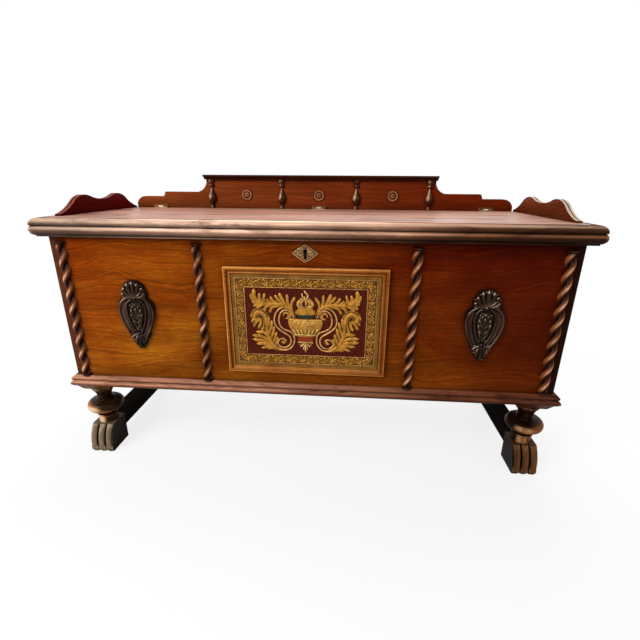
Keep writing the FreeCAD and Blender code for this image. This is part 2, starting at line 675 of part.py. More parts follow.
# Gallery board on the back wall, with its cornice, half-turned spindles and rosettes.
board_right = (
    ("board_half", "0 - lid_thick - lid_gap"),
    ("board_half", "board_end"),
    ("board_low_half", "board_low", "0 - 5"),
    ("board_step_half", "board_low"),
    ("board_mid_half + 2", "board_mid - 2"),
    ("board_mid_half", "board_mid"),
    ("board_curve_half", "board_mid"),
    ("board_top_half", "board_spring", "8"),
    ("board_top_half", "board_high"),
)
backboard = body("backboard")
pad(backboard, "backboard_slab", outline(backboard, "backboard_face", "XZ_Plane", mirrored(board_right)),
    "wall", both=False)
place(backboard, "0", "case_back", "lid_top")
hinge_spots = ("0", "0 - hinge_side", "hinge_side")
screw_spots = [f"{middle} {way} screw_side" for middle in hinge_spots for way in ("-", "+")]
board_screw_z = "axis_z + screw_out"
board_screw_holes = [rod(f"board_pilot_{n}", "screw_radius + screw_fit", "screw_long + screw_fit", spot,
                         "board_face", board_screw_z, ALONG_Y) for n, spot in enumerate(screw_spots)]
keep(cut("backboard_drilled", backboard, join("board_pilots", board_screw_holes)), "gallery_backboard")
cornice = keep(body("cornice"), "gallery_cornice")
cornice_section = (
    ("0 - wall - cornice_reach", "cornice_high"),
    ("0 - wall - cornice_reach", "cornice_high * 0.62"),
    ("0 - wall - cornice_reach * 0.82", "cornice_high * 0.55"),
    ("0 - wall - cornice_reach * 0.45", "cornice_high * 0.12", "1.8"),
    ("0 - wall - cornice_reach * 0.4", "0"),
    ("0", "0"),
    ("0", "cornice_high"),
)
pad(cornice, "cornice_run", outline(cornice, "cornice_section", "YZ_Plane", cornice_section),
    "2 * cornice_half")
place(cornice, "0", "case_back", "lid_top + board_high")
spindle_long = "(board_high - spindle_lift)"
belly = "spindle_radius"
spindle_section = (
    ("0", "0"),
    (f"{belly} * 0.48", "0"),
    (f"{belly} * 0.48", f"{spindle_long} * 0.06"),
    (f"{belly} * 0.32", f"{spindle_long} * 0.09"),
    (f"{belly} * 0.5", f"{spindle_long} * 0.15"),
    (f"{belly} * 0.72", f"{spindle_long} * 0.5", f"0 - {belly} * 0.4"),
    (f"{belly} * 0.3", f"{spindle_long} * 0.69", f"{belly} * 0.06"),
    (f"{belly} * 0.3", f"{spindle_long} * 0.73"),
    (f"{belly} * 0.3", f"{spindle_long} * 0.86", f"0 - {belly} * 0.38"),
    (f"{belly} * 0.3", f"{spindle_long} * 0.9"),
    (f"{belly} * 0.72", f"{spindle_long} * 0.92"),
    (f"{belly} * 0.72", spindle_long),
    ("0", spindle_long),
)
spindles = []
for row, distance in (("outer", "spindle_outer"), ("inner", "spindle_inner")):
    for side, sign in (("left", "0 - "), ("right", "")):
        piece = body(f"spindle_{row}_{side}")
        turned(piece, f"spindle_{row}_{side}_spin",
               outline(piece, f"spindle_{row}_{side}_half", "XZ_Plane", spindle_section), 180.0, True)
        spindles.append(place(piece, f"{sign}{distance}", "board_face", "lid_top + spindle_lift"))
keep(group("spindle_set", spindles), "gallery_spindles")
rosette_section = (
    ("0", "0"),
    ("rosette_radius", "0"),
    ("rosette_radius", "rosette_thick * 0.45"),
    ("rosette_radius * 0.86", "rosette_thick * 0.7", "0 - 0.5"),
    ("rosette_radius * 0.62", "rosette_thick * 0.55", "0.4"),
    ("rosette_radius * 0.42", "rosette_thick * 0.6"),
    ("rosette_radius * 0.14", "rosette_thick", "0 - 0.6"),
    ("0", "rosette_thick"),
)
rosettes = []
for number, spot in enumerate(("0", "0 - rosette_side", "rosette_side")):
    piece = body(f"rosette_{number}")
    turned(piece, f"rosette_{number}_spin",
           outline(piece, f"rosette_{number}_half", "XZ_Plane", rosette_section))
    rosettes.append(place(piece, spot, "board_face", "lid_top + rosette_mid", about(X_AXIS, 90)))
keep(group("rosette_set", rosettes), "gallery_rosettes")

# Butt hinges: outer knuckles on the board's leaf, middle knuckle on the lid's leaf.
third = "(hinge_long / 3)"
fixed_leaves = []
lid_leaves = []
pins = []
for number, middle in enumerate(hinge_spots):
    outer = []
    for way, sign in (("left", f"0 - {third} * 1.5"), ("right", f"{third} * 0.5 + knuckle_gap")):
        start = f"{middle} + {sign}"
        outer.append(rod(f"hinge_{number}_{way}_knuckle", "knuckle_radius", f"{third} - knuckle_gap", start,
                         "axis_y", "axis_z", ALONG_X))
        outer.append(block(f"hinge_{number}_{way}_tab", (start, f"{start} + {third} - knuckle_gap"),
                           ("board_face - leaf_thick", "board_face"),
                           ("axis_z", "axis_z + hinge_rise + knuckle_gap")))
    outer.append(block(f"hinge_{number}_upper_plate",
                       (f"{middle} - hinge_long / 2", f"{middle} + hinge_long / 2"),
                       ("board_face - leaf_thick", "board_face"),
                       ("axis_z + hinge_rise", "axis_z + leaf_wide")))
    inner = [
        rod(f"hinge_{number}_middle_knuckle", "knuckle_radius", f"{third}", f"{middle} - {third} / 2",
            "axis_y", "axis_z", ALONG_X),
        block(f"hinge_{number}_middle_tab", (f"{middle} - {third} / 2", f"{middle} + {third} / 2"),
              ("axis_y - hinge_rise - knuckle_gap", "axis_y"), ("lid_top", "lid_top + leaf_thick")),
        block(f"hinge_{number}_lower_plate",
              (f"{middle} - hinge_long / 2", f"{middle} + hinge_long / 2"),
              ("axis_y - leaf_wide", "axis_y - hinge_rise"), ("lid_top", "lid_top + leaf_thick")),
    ]
    start = f"{middle} - hinge_long / 2"
    bore = rod(f"hinge_{number}_bore", "pin_radius + pin_fit", "hinge_long", start, "axis_y", "axis_z", ALONG_X)
    lid_bore = rod(f"hinge_{number}_lid_bore", "pin_radius + pin_fit", "hinge_long", start,
                   "axis_y", "axis_z", ALONG_X)
    upper = [bore]
    lower = [lid_bore]
    for way in ("-", "+"):
        side = "left" if way == "-" else "right"
        spot = f"{middle} {way} screw_side"
        upper.append(rod(f"hinge_{number}_{side}_upper_hole", "screw_radius + screw_fit", "leaf_thick", spot,
                         "board_face - leaf_thick", board_screw_z, ALONG_Y))
        lower.append(rod(f"hinge_{number}_{side}_lower_hole", "screw_radius + screw_fit", "leaf_thick", spot,
                         "axis_y - screw_out", "lid_top"))
    fixed_leaves.append(cut(f"hinge_{number}_fixed", join(f"hinge_{number}_fixed_form", outer),
                            join(f"hinge_{number}_fixed_holes", upper)))
    lid_leaves.append(cut(f"hinge_{number}_moving", join(f"hinge_{number}_moving_form", inner),
                          join(f"hinge_{number}_moving_holes", lower)))
    pins.append(rod(f"hinge_{number}_pin", "pin_radius", "hinge_long", start, "axis_y", "axis_z", ALONG_X))
keep(group("fixed_leaf_set", fixed_leaves), "hinge_fixed_leaves")
keep(group("lid_leaf_set", lid_leaves), "hinge_lid_leaves")
keep(group("pin_set", pins), "hinge_pins")

board_screws = []
lid_screws = []
lid_pilots = []
for number, spot in enumerate(screw_spots):
    shank = rod(f"board_shank_{number}", "screw_radius", "screw_long + leaf_thick", spot,
                "board_face - leaf_thick", board_screw_z, ALONG_Y)
    head = rod(f"board_head_{number}", "screw_head", "screw_rise", spot,
               "board_face - leaf_thick - screw_rise", board_screw_z, ALONG_Y)
    board_screws.append(join(f"board_screw_{number}", [shank, head]))
    shank = rod(f"lid_shank_{number}", "screw_radius", "screw_long + leaf_thick", spot,
                "axis_y - screw_out", "lid_top - screw_long")
    head = rod(f"lid_head_{number}", "screw_head", "screw_rise", spot,
               "axis_y - screw_out", "lid_top + leaf_thick")
    lid_screws.append(join(f"lid_screw_{number}", [shank, head]))
    lid_pilots.append(rod(f"lid_pilot_{number}", "screw_radius + screw_fit", "screw_long + screw_fit", spot,
                          "axis_y - screw_out", "lid_top - screw_long - screw_fit"))
keep(group("board_screw_set", board_screws), "hinge_screws_board")
keep(group("lid_screw_set", lid_screws), "hinge_screws_lid")

# Lid: flat panel, moulded lip on three edges, shaped side galleries.
lid_blank = block("lid_blank", ("0 - half_width - lip_gap", "half_width + lip_gap"),
                  ("case_front - lip_gap", "lid_back"), ("lid_under", "lid_top"))
bolt_pocket = strike_hole("bolt_pocket", ("lid_under", "lid_under + bolt_throw + 2"))
lid_holes = join("lid_holes", lid_pilots + [strike_block("strike_room"), bolt_pocket])
keep(cut("lid_board", lid_blank, lid_holes), "lid_panel")
lip_deep = "lid_reach - lip_gap"
lip_section = (
    (lip_deep, "0"),
    (lip_deep, "lip_high"),
    ("lid_reach * 0.52", "lip_high"),
    ("lid_reach * 0.06", "lip_high * 0.62", "0 - lip_high * 0.1"),
    ("lid_reach * 0.17", "lip_high * 0.59"),
    ("lid_reach * 0.1", "lip_high * 0.56"),
    ("lid_reach * 0.3", "lip_high * 0.08", "0 - lid_reach * 0.1896"),
    ("lid_reach * 0.36", "lip_high * 0.07"),
    ("lid_reach * 0.36", "0"),
)
lip_under = "lid_top - lip_high"
lip_side_long = "lid_back - case_front + lid_reach"
lip_side_mid = "(lid_back + case_front - lid_reach) / 2"
piece = keep(strip("lip_front", lip_section, lip_deep, "case_width + 2 * lid_reach", True, True),
             "lid_moulding_front")
place(piece, "0", "case_front - lid_reach", lip_under)
piece = keep(strip("lip_right", lip_section, lip_deep, lip_side_long, True, False), "lid_moulding_right")
place(piece, "half_width + lid_reach", lip_side_mid, lip_under, about(Z_AXIS, 90))
piece = keep(strip("lip_left", lip_section, lip_deep, lip_side_long, False, True), "lid_moulding_left")
place(piece, "0 - half_width - lid_reach", lip_side_mid, lip_under, about(Z_AXIS, -90))

run = "(lid_back - case_front - gallery_start)"


def humps(low):
    """Double-humped side gallery: Y from its front end, Z from the lid."""
    return (
        ("0", "0"),
        (run, "0"),
        (run, f"gallery_peak * 0.1 - {low}"),
        (f"{run} * 0.83", f"gallery_peak * 0.72 - {low}", "gallery_peak * 0.09"),
        (f"{run} * 0.63", f"gallery_peak * 0.86 - {low}", "0 - gallery_peak * 0.2"),
        (f"{run} * 0.37", f"gallery_peak * 0.86 - {low}", "gallery_peak * 0.86 - gallery_dip"),
        (f"{run} * 0.17", f"gallery_peak * 0.72 - {low}", "0 - gallery_peak * 0.2"),
        ("0", f"gallery_peak * 0.1 - {low}", "gallery_peak * 0.09"),
    )


bead = "(gallery_thick - gallery_groove) / 2"
for side, sign in (("left", "0 - "), ("right", "")):
    piece = keep(body(f"rail_{side}"), f"side_gallery_{side}")
    pad(piece, f"rail_{side}_web", outline(piece, f"rail_{side}_web_face", "YZ_Plane", humps("gallery_groove")),
        "gallery_thick")
    for number, way in enumerate(("0 - ", "")):
        face = outline(piece, f"rail_{side}_bead_face_{number}", "YZ_Plane", humps("0"),
                       f"{way}(gallery_thick - {bead}) / 2")
        pad(piece, f"rail_{side}_bead_{number}", face, bead)
    place(piece, f"{sign}(gallery_half + gallery_thick / 2)", "case_front + gallery_start", "lid_top")

# Quadrant stays turn with the lid about the hinge axis and slide through guides on the case ends.
FROM_LEVEL = FreeCAD.Rotation(FreeCAD.Vector(0, -1, 0), FreeCAD.Vector(0, 0, -1), FreeCAD.Vector(1, 0, 0))


def sector(name, radii, angle_start, angle_span, x, thick):
    """Curved bar about the hinge axis, its angle measured down from level."""
    turn = about(X_AXIS, val(angle_start)).multiply(FROM_LEVEL)
    disc = rod(name + "_disc", radii[1], thick, x, "axis_y", "axis_z", turn)
    bind(disc, Angle=angle_span)
    core = rod(name + "_core", radii[0], thick, x, "axis_y", "axis_z", turn)
    return cut(name, disc, core)


stay_root = math.degrees(math.asin(val("(hinge_rise + lid_thick + 0.2) / (stay_radius - stay_half)")))
guide_level = val("(hinge_rise + lid_thick + flange_thick + guide_drop) / (stay_radius - stay_half - guide_rim)")
guide_start = str(math.degrees(math.asin(guide_level)))
stay_end = f"{guide_start} + guide_span + stay_play + lid_open"
stay_band = ("stay_radius - stay_half", "stay_radius + stay_half")
slot_band = ("stay_radius - stay_half - stay_clear", "stay_radius + stay_half + stay_clear")
rim_band = ("stay_radius - stay_half - guide_rim", "stay_radius + stay_half + guide_rim")
stop_band = ("stay_radius - stay_half - 2", "stay_radius + stay_half + 2")
stays = []
guides = []
for side, start in (("left", "0 - lined_half + stay_inset"), ("right", "lined_half - stay_inset - stay_thick")):
    arm = sector(f"stay_{side}_arm", stay_band, str(stay_root), f"{stay_end} - {stay_root}", start, "stay_thick")
    stop = sector(f"stay_{side}_stop", stop_band, stay_end, "stay_stop", f"{start} - 1", "stay_thick + 2")
    flange = block(f"stay_{side}_flange", (f"{start} - 2", f"{start} + stay_thick + 2"),
                   ("axis_y - stay_radius - 15", "axis_y - stay_radius + 15"), ("lid_under - flange_thick", "lid_under"))
    stays.append(join(f"stay_{side}", [arm, stop, flange]))
    rim = sector(f"guide_{side}_rim", rim_band, guide_start, "guide_span",
                 f"{start} - stay_inset", "stay_thick + 2 * stay_inset")
    slot = sector(f"guide_{side}_slot", slot_band, f"{guide_start} - 2", "guide_span + 4",
                  f"{start} - stay_clear", "stay_thick + 2 * stay_clear")
    guides.append(cut(f"guide_{side}", rim, slot))
keep(group("stay_set", stays), "lid_stays")
keep(group("guide_set", guides), "stay_guides")

doc.recompute()
for item in doc.Objects:
    if "Invalid" in item.State or "Error" in item.State:
        raise RuntimeError(f"{item.Label}: {item.State}")
os.makedirs("parts", exist_ok=True)
for item in NODES:
    if item.Shape.isNull() or not item.Shape.isValid():
        raise RuntimeError(f"{item.Label}: bad shape")
    item.Shape.exportStep(f"parts/{item.Label}.step")
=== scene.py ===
import json
import math

import bpy
from mathutils import Matrix, Vector


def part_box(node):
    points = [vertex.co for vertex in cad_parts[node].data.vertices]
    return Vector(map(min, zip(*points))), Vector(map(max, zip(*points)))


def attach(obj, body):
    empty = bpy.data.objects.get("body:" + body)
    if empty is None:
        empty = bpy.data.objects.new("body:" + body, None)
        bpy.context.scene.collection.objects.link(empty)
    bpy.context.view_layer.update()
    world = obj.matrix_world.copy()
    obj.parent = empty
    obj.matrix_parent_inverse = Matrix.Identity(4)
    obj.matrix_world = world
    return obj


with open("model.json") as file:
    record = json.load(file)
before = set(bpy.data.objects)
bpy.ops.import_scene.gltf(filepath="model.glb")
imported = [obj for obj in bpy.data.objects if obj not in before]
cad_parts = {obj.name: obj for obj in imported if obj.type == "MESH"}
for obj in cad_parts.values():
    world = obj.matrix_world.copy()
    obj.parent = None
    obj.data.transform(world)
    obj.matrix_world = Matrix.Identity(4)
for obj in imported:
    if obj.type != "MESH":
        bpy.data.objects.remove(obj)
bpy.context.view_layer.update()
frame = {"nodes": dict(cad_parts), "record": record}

bl_info = {
    "name": "Cedar chest looks",
    "version": (1, 0, 0),
    "blender": (4, 5, 0),
    "location": "View3D > Sidebar > Chest",
    "description": "Finishes, carving and brass for a cedar chest on a trestle base",
    "category": "Object",
}

MM = 0.001
CARVED = 0.00095  # one unit of the drawn ornament
AHEAD = (0.0, -1.0, 0.0)
UP = (0.0, 0.0, 1.0)
PANEL_LOW, PANEL_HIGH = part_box("carved_panel")
PANEL_MID = (PANEL_LOW[2] + PANEL_HIGH[2]) / 2
PANEL_HALF_WIDE = (PANEL_HIGH[0] - PANEL_LOW[0]) / 2 / MM
PANEL_HALF_HIGH = (PANEL_HIGH[2] - PANEL_LOW[2]) / 2 / MM
LID_LOW, LID_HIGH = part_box("lid_panel")
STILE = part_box("twist_column_outer_right")[1][0]
FRONT_LOW, FRONT_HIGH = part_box("front_panel")
LIP_LOW, LIP_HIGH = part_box("lid_moulding_front")
# Heights of the legs' necks, which take a painted shade under the base.
NECK_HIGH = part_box("bearer_left")[0][2]
NECK_SHARE = 0.38  # of a leg's height
NECK_LOW = NECK_HIGH - (NECK_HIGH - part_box("foot_front_left")[1][2]) * NECK_SHARE


def tone(red, green, blue):
    """Colour as read on a screen, 0 to 255, as the linear colour that a shader takes."""
    return tuple(((part / 255 + 0.055) / 1.055) ** 2.4 for part in (red, green, blue))


def colour(label, note, value):
    return bpy.props.FloatVectorProperty(name=label, description=note, default=value, subtype="COLOR",
                                         min=0.0, max=1.0)


def length(label, note, value):
    return bpy.props.FloatProperty(name=label, description=note, default=value, unit="LENGTH", precision=4)


class ChestWood(bpy.types.PropertyGroup):
    """Colours of the wood."""
    # From front_pale at the left to front_deep at the right: partly sun-faded wood, partly painted shade.
    front_pale: colour("Front, pale", "Sun-faded end of the front veneer", tone(130, 59, 7))
    front_deep: colour("Front, deep", "Shaded end of the front veneer", tone(94, 30, 5))
    stile: colour("Corner stile", "Dark stain of the front's outer edges", tone(66, 34, 20))
    lid: colour("Lid", "Middle colour of the lid veneer", tone(136, 58, 31))
    gallery: colour("Gallery", "Middle colour of the gallery", tone(140, 66, 28))
    bronzed: colour("Bronzed", "Bronzed lacquer of the lid's edge", tone(93, 69, 56))
    worn: colour("Worn", "Bronzed lacquer where it is rubbed", tone(184, 154, 132))
    base: colour("Base moulding", "Bronzed lacquer of the base moulding", tone(112, 64, 42))
    leg: colour("Legs", "Bronzed lacquer of the legs", tone(152, 98, 54))
    foot: colour("Feet", "Bronzed lacquer of the feet", tone(124, 104, 80))
    twist: colour("Twist", "Lacquer of the columns", tone(76, 38, 21))
    golden: colour("Golden", "Lacquer of the panel frame", tone(150, 77, 21))


class ChestCarving(bpy.types.PropertyGroup):
    """Relief and colours of the carving."""
    relief: bpy.props.FloatProperty(name="Relief", description="Depth of a stroke over its half width",
                                    default=0.55, min=0.1, max=1.0, subtype="FACTOR")
    slip: length("Slip", "Plain strip round the panel", 0.008)
    band: length("Band", "Width of the patterned band", 0.02)
    gilt: colour("Gilt", "Rubbed gold of the carving", tone(178, 122, 46))
    rib: colour("Ribs", "Rubbed copper gold of the scrolls and lines", tone(196, 142, 82))
    ground: colour("Ground", "Stippled ground behind the carving", tone(68, 22, 12))
    band_ground: colour("Band ground", "Ground of the patterned band", tone(92, 60, 24))
    plain: colour("Slip", "Olive gold of the strip round the band", tone(118, 80, 32))
    bronze: colour("Bronze", "Dark metal of the cartouches", tone(52, 35, 24))


class ChestReeds(bpy.types.PropertyGroup):
    """Rounded reeds on the feet."""
    swell: length("Swell", "How far a reed stands out", 0.0035)


class ChestStage(bpy.types.PropertyGroup):
    """Camera, floor and lamps."""
    lens: bpy.props.FloatProperty(name="Lens", description="Focal length", default=22.195, unit="CAMERA")
    camera_place: bpy.props.FloatVectorProperty(
        name="Camera", description="Where the camera stands", default=(0.0917, -1.0005, 0.6581),
        subtype="TRANSLATION")
    pitch: bpy.props.FloatProperty(name="Pitch", description="Camera tilt down", default=0.3373, subtype="ANGLE")
    yaw: bpy.props.FloatProperty(name="Yaw", description="Camera turn", default=-0.0727, subtype="ANGLE")
    roll: bpy.props.FloatProperty(name="Roll", description="Camera roll", default=0.0069, subtype="ANGLE")
    floor_colour: colour("Floor", "Colour of the floor", (0.92, 0.92, 0.92))


class Nodes:
    """Node tree, put together step by step."""

    def __init__(self, tree):
        self.tree = tree

    def add(self, kind, inputs=None, **settings):
        """One node; an input is a value or another node's socket."""
        made = self.tree.nodes.new(kind)
        for name, value in settings.items():
            setattr(made, name, value)
        for key, value in (inputs or {}).items():
            self.put(made.inputs[key], value)
        return made

    def put(self, socket, value):
        if isinstance(value, bpy.types.NodeSocket):
            self.tree.links.new(value, socket)
        else:
            socket.default_value = value

    def sum(self, kind, first, second=0.0):
        return self.add("ShaderNodeMath", {0: first, 1: second}, operation=kind).outputs[0]

    def times(self, first, second):
        return self.sum("MULTIPLY", first, second)

    def end(self, output, share, first, second):
        """Mix two shaders and lead the mix to the output."""
        mixed = self.add("ShaderNodeMixShader", {0: share, 1: first.outputs[0], 2: second.outputs[0]})
        self.put(self.tree.nodes[output].inputs[0], mixed.outputs[0])


class Finish(Nodes):
    """One finish, laid out on the object's own coordinates and on the way its surface faces.

    A colour may be given as a number, for that share of the finish's base colour. The paint so far is its skin."""

    def __init__(self, name, base):
        self.base = base
        self.skin = base
        self.made = bpy.data.materials.new(name)
        self.made.use_nodes = True
        super().__init__(self.made.node_tree)
        self.shader = self.tree.nodes["Principled BSDF"]
        known = self.add("ShaderNodeTexCoord").outputs
        self.place = known["Object"]
        self.facing = known["Normal"]

    def set(self, **sockets):
        """Put values on the shader's sockets and hand over the material."""
        for name, value in sockets.items():
            self.put(self.shader.inputs[name.replace("_", " ")], value)
        return self.made

    def split(self, vector):
        return self.add("ShaderNodeSeparateXYZ", {0: vector}).outputs

    def toward(self, way):
        """How nearly the surface faces one way."""
        return self.add("ShaderNodeVectorMath", {0: self.facing, 1: way}, operation="DOT_PRODUCT").outputs["Value"]

    def away(self, first, second):
        """Distance out of two measures at right angles."""
        return self.sum("SQRT", self.sum("ADD", self.times(first, first), self.times(second, second)))

    def laid(self, scale, shift=(0.0, 0.0, 0.0)):
        """Object coordinates, stretched and shifted."""
        return self.add("ShaderNodeMapping", {"Vector": self.place, "Scale": scale, "Location": shift}).outputs[0]

    def noise(self, scale, detail=5.0, rough=0.55, warp=0.0):
        """Clouds; the scale is one number, or one for each axis."""
        where = self.laid((scale,) * 3 if isinstance(scale, float) else scale)
        return self.add("ShaderNodeTexNoise", {"Vector": where, "Scale": 1.0, "Detail": detail, "Roughness": rough,
                                               "Distortion": warp}).outputs[0]

    def ramp(self, value, stops):
        """Colours over a value: (place, colour)."""
        made = self.add("ShaderNodeValToRGB", {0: value})
        band = made.color_ramp
        while len(band.elements) < len(stops):
            band.elements.new(0.5)
        for element, (at, hue) in zip(band.elements, stops):
            element.position = at
            element.color = self.flat(hue)
        return made.outputs[0]

    def levels(self, value, stops):
        """Greys over a value: (place, level)."""
        return self.ramp(value, [(at, (level,) * 3) for at, level in stops])

    def rough(self, value, low, high):
        return self.span(value, 0.3, 0.7, low, high)

    def span(self, value, low, high, new_low=0.0, new_high=1.0):
        return self.add("ShaderNodeMapRange", {0: value, 1: low, 2: high, 3: new_low, 4: new_high}).outputs[0]

    def blend(self, first, part, second, other):
        """Two values added up by their parts."""
        return self.sum("ADD", self.times(first, part), self.times(second, other))

    def mix(self, share, first, second, kind="MIX"):
        return self.add("ShaderNodeMix", {0: share, 6: self.flat(first), 7: self.flat(second)},
                        data_type="RGBA", blend_type=kind).outputs[2]

    def share(self, parts):
        """Product of parts, each a socket or what span takes; all of it where there are none."""
        whole = 1.0
        for part in parts:
            part = self.span(*part) if isinstance(part, tuple) else part
            whole = part if whole == 1.0 else self.times(whole, part)
        return whole

    def over(self, hue, *parts):
        """Lay a colour over the skin, as far as the product of the parts goes."""
        self.skin = self.mix(self.share(parts), self.skin, hue)

    def tint(self, hue, *parts):
        """Multiply the skin by a colour, as far as the product of the parts goes."""
        self.skin = self.mix(self.share(parts), self.skin, hue, "MULTIPLY")

    def dirt(self, reach, depth, start=0.25):
        """Painted shade in the hollows, with some dirt."""
        hollow = self.span(self.corner(reach), start, 0.95, depth, 1.0)
        self.tint(self.levels(hollow, ((0.0, 0.0), (1.0, 1.0))))

    def flat(self, hue):
        if isinstance(hue, bpy.types.NodeSocket):
            return hue
        return (*(shade(self.base, hue) if isinstance(hue, float) else hue[:3]), 1.0)

    def corner(self, reach, inside=False):
        """Openness of the surface nearby: low in hollows, or along edges where asked."""
        return self.add("ShaderNodeAmbientOcclusion", {"Distance": reach}, samples=6, inside=inside,
                        only_local=inside).outputs["AO"]

    def done(self, sheen, rough, bump, **more):
        """Put the paint, its gloss and its bump (height, strength, distance) on the shader."""
        height, strength, reach = bump
        bump = self.add("ShaderNodeBump", {"Height": height, "Strength": strength, "Distance": reach}).outputs[0]
        return self.set(Base_Color=self.skin, Specular_IOR_Level=sheen, Roughness=rough, Normal=bump, **more)


def shade(base, share):
    return tuple(part * share for part in base[:3])


def drawn(across, along, axis):
    """Scale of a pattern that is drawn out along one axis."""
    scale = [across] * 3
    scale[axis] = along
    return scale


def grain(paint, along, dark, light, size=1.0, far=None, rings=0.38):
    """Growth lines that flow along one axis and bend, with clouds and fine pores.

    A second colour may take over along X, as a painted shade toward the right; on the front it also stands
    for sun-fading."""
    axes = paint.split(paint.place)
    sway = paint.noise(drawn(4.6, 2.7, along), 2.5, 0.5, 0.5)
    across = paint.sum("ADD", axes[(along + 1) % 3], axes[(along + 2) % 3])
    flow = paint.blend(across, 210.0, sway, 30.0)
    line = paint.add("ShaderNodeTexNoise", {"W": flow, "Scale": 1.0, "Detail": 2.5, "Roughness": 0.6},
                     noise_dimensions="1D").outputs[0]
    cloudy = paint.noise(drawn(10.0 * size, 1.6 * size, along), 6.0, 0.6, 1.2)
    pore = paint.noise(drawn(260.0, 9.0, along), 2.0, 0.5)
    figure = paint.blend(cloudy, 0.6, line, 0.4)
    stops = ((0.30, dark), (0.47, 0.85), (0.56, 1.08), (0.72, light))
    paint.skin = paint.ramp(figure, stops)
    # Painted shade toward the right.
    if far is not None:
        other = paint.ramp(figure, [(at, shade(far, share)) for at, share in stops])
        paint.over(other, (axes[0], -0.3, 0.36))
    cloud = paint.noise((5.0, 5.0, 8.0), 4.0, 0.6, 0.8)
    paint.tint((1.3, 1.5, 1.4), (cloud, 0.45, 0.7, 0.0, 0.8))
    paint.over(0.2, (line, 0.45, 0.28), (cloudy, 0.4, 0.62, 0.1, 1.0), rings)
    paint.over(0.25, (pore, 0.52, 0.75, 0.0, 0.5))
    return figure, pore


def veneer(name, base, along=0, far=None, gloss=(0.28, 0.46), dark=0.5, light=1.4, sheen=0.012, stile=None,
           edge=None, bloom=None, haze=0.0, back=None):
    """Figured veneer under lacquer.

    A stain may darken its outer edges, a painted highlight may lie along its upward edges, a painted glare may
    streak its top, and its back may have a tint of its own."""
    paint = Finish(name, base)
    figure, pore = grain(paint, along, dark, light, far=far, rings=0.38 if stile is None else 0.26)
    scuffs = paint.span(paint.noise(14.0, 6.0, 0.7), 0.35, 0.7, *gloss)
    if stile is not None:
        side, _, high = paint.split(paint.place)
        red = paint.noise((3.4, 3.4, 7.0), 4.0, 0.6, 0.8)
        paint.tint(paint.mix(paint.span(red, 0.4, 0.62), (1.14, 1.36, 1.2), (0.84, 0.7, 0.7)))
        fleck = paint.noise((70.0, 300.0, 300.0), 3.0, 0.6)
        paint.tint((1.7, 1.8, 1.8), (fleck, 0.5, 0.68, 0.0, 0.4))
        up = paint.span(high, FRONT_LOW[2], FRONT_HIGH[2])
        # Darker and redder toward the top of the front, more golden toward the bottom.
        paint.tint(paint.mix(up, (1.06, 1.3, 1.5), (0.96, 0.86, 0.9)))
        # On the right, painted shade darkens the top, and the bottom is made more golden.
        paint.tint(paint.mix(up, (1.3, 1.5, 0.7), (0.58, 0.3, 0.5)), (side, 0.0, 0.27))
        # Painted shade at the far right.
        paint.tint((0.72, 0.58, 0.7), (side, 0.33, 0.45))
        outer = paint.span(paint.sum("ABSOLUTE", side), STILE - MM, STILE + MM)
        stain = paint.ramp(figure, ((0.3, shade(stile, 0.8)), (0.7, shade(stile, 2.2))))
        # The stile stain, darker on the right-hand stile as painted shade.
        paint.over(paint.mix(paint.span(side, -0.2, 0.4), stain, shade(stile, 0.3)), outer)
    # Painted highlight along upward-facing edges, broken up by the figure, with some wear.
    if edge is not None:
        paint.over(edge, (paint.toward(UP), 0.15, 0.4), (figure, 0.3, 0.5, 0.4, 1.0))
    # Painted glare: pale streaks on the lid's upward faces for reflected light, and for bloomed lacquer too.
    if bloom is not None:
        smear = paint.noise((2.8, 44.0, 44.0), 6.0, 0.62, 0.5)
        paint.over(bloom, (smear, 0.45, 0.64, 0.0, 0.42), (paint.toward(UP), 0.4, 0.6))
        scuffs = paint.span(smear, 0.42, 0.62, *gloss)
    # Tint on faces turned one way: plainer colour under the lid, painted shade on the gallery's back.
    if back is not None:
        way, hue = back
        paint.tint(hue, (paint.toward(way), 0.3, 0.7))
    # Painted shade in hollows and under overhangs.
    paint.dirt(0.03, 0.3)
    return paint.done(sheen, scuffs, (pore, 0.12, 0.0004), Sheen_Weight=haze, Sheen_Roughness=0.3,
                      Sheen_Tint=(1.0, 0.78, 0.6, 1.0))


# Painted light and shade over the height of the lid's edge, at its left and at its right,
# and the painted highlight along its nose.
LEFT_ROLLS = ((0.0, 0.2), (0.07, 0.4), (0.14, 0.55), (0.24, 0.65), (0.34, 0.72), (0.42, 1.0), (0.5, 0.75),
              (0.55, 0.35), (0.58, 0.14), (0.63, 0.26), (0.72, 0.42), (0.82, 0.6), (0.9, 1.0), (1.0, 1.0))
RIGHT_ROLLS = ((0.0, 0.12), (0.1, 0.22), (0.2, 0.3), (0.36, 0.38), (0.41, 0.85), (0.47, 1.0), (0.51, 0.5),
               (0.56, 0.1), (0.65, 0.2), (0.76, 0.3), (0.83, 0.42), (0.89, 1.0), (0.96, 1.0), (1.0, 0.7))
NOSE_LINE = ((0.84, 0.0), (0.89, 0.75), (0.95, 0.75), (0.98, 0.0))


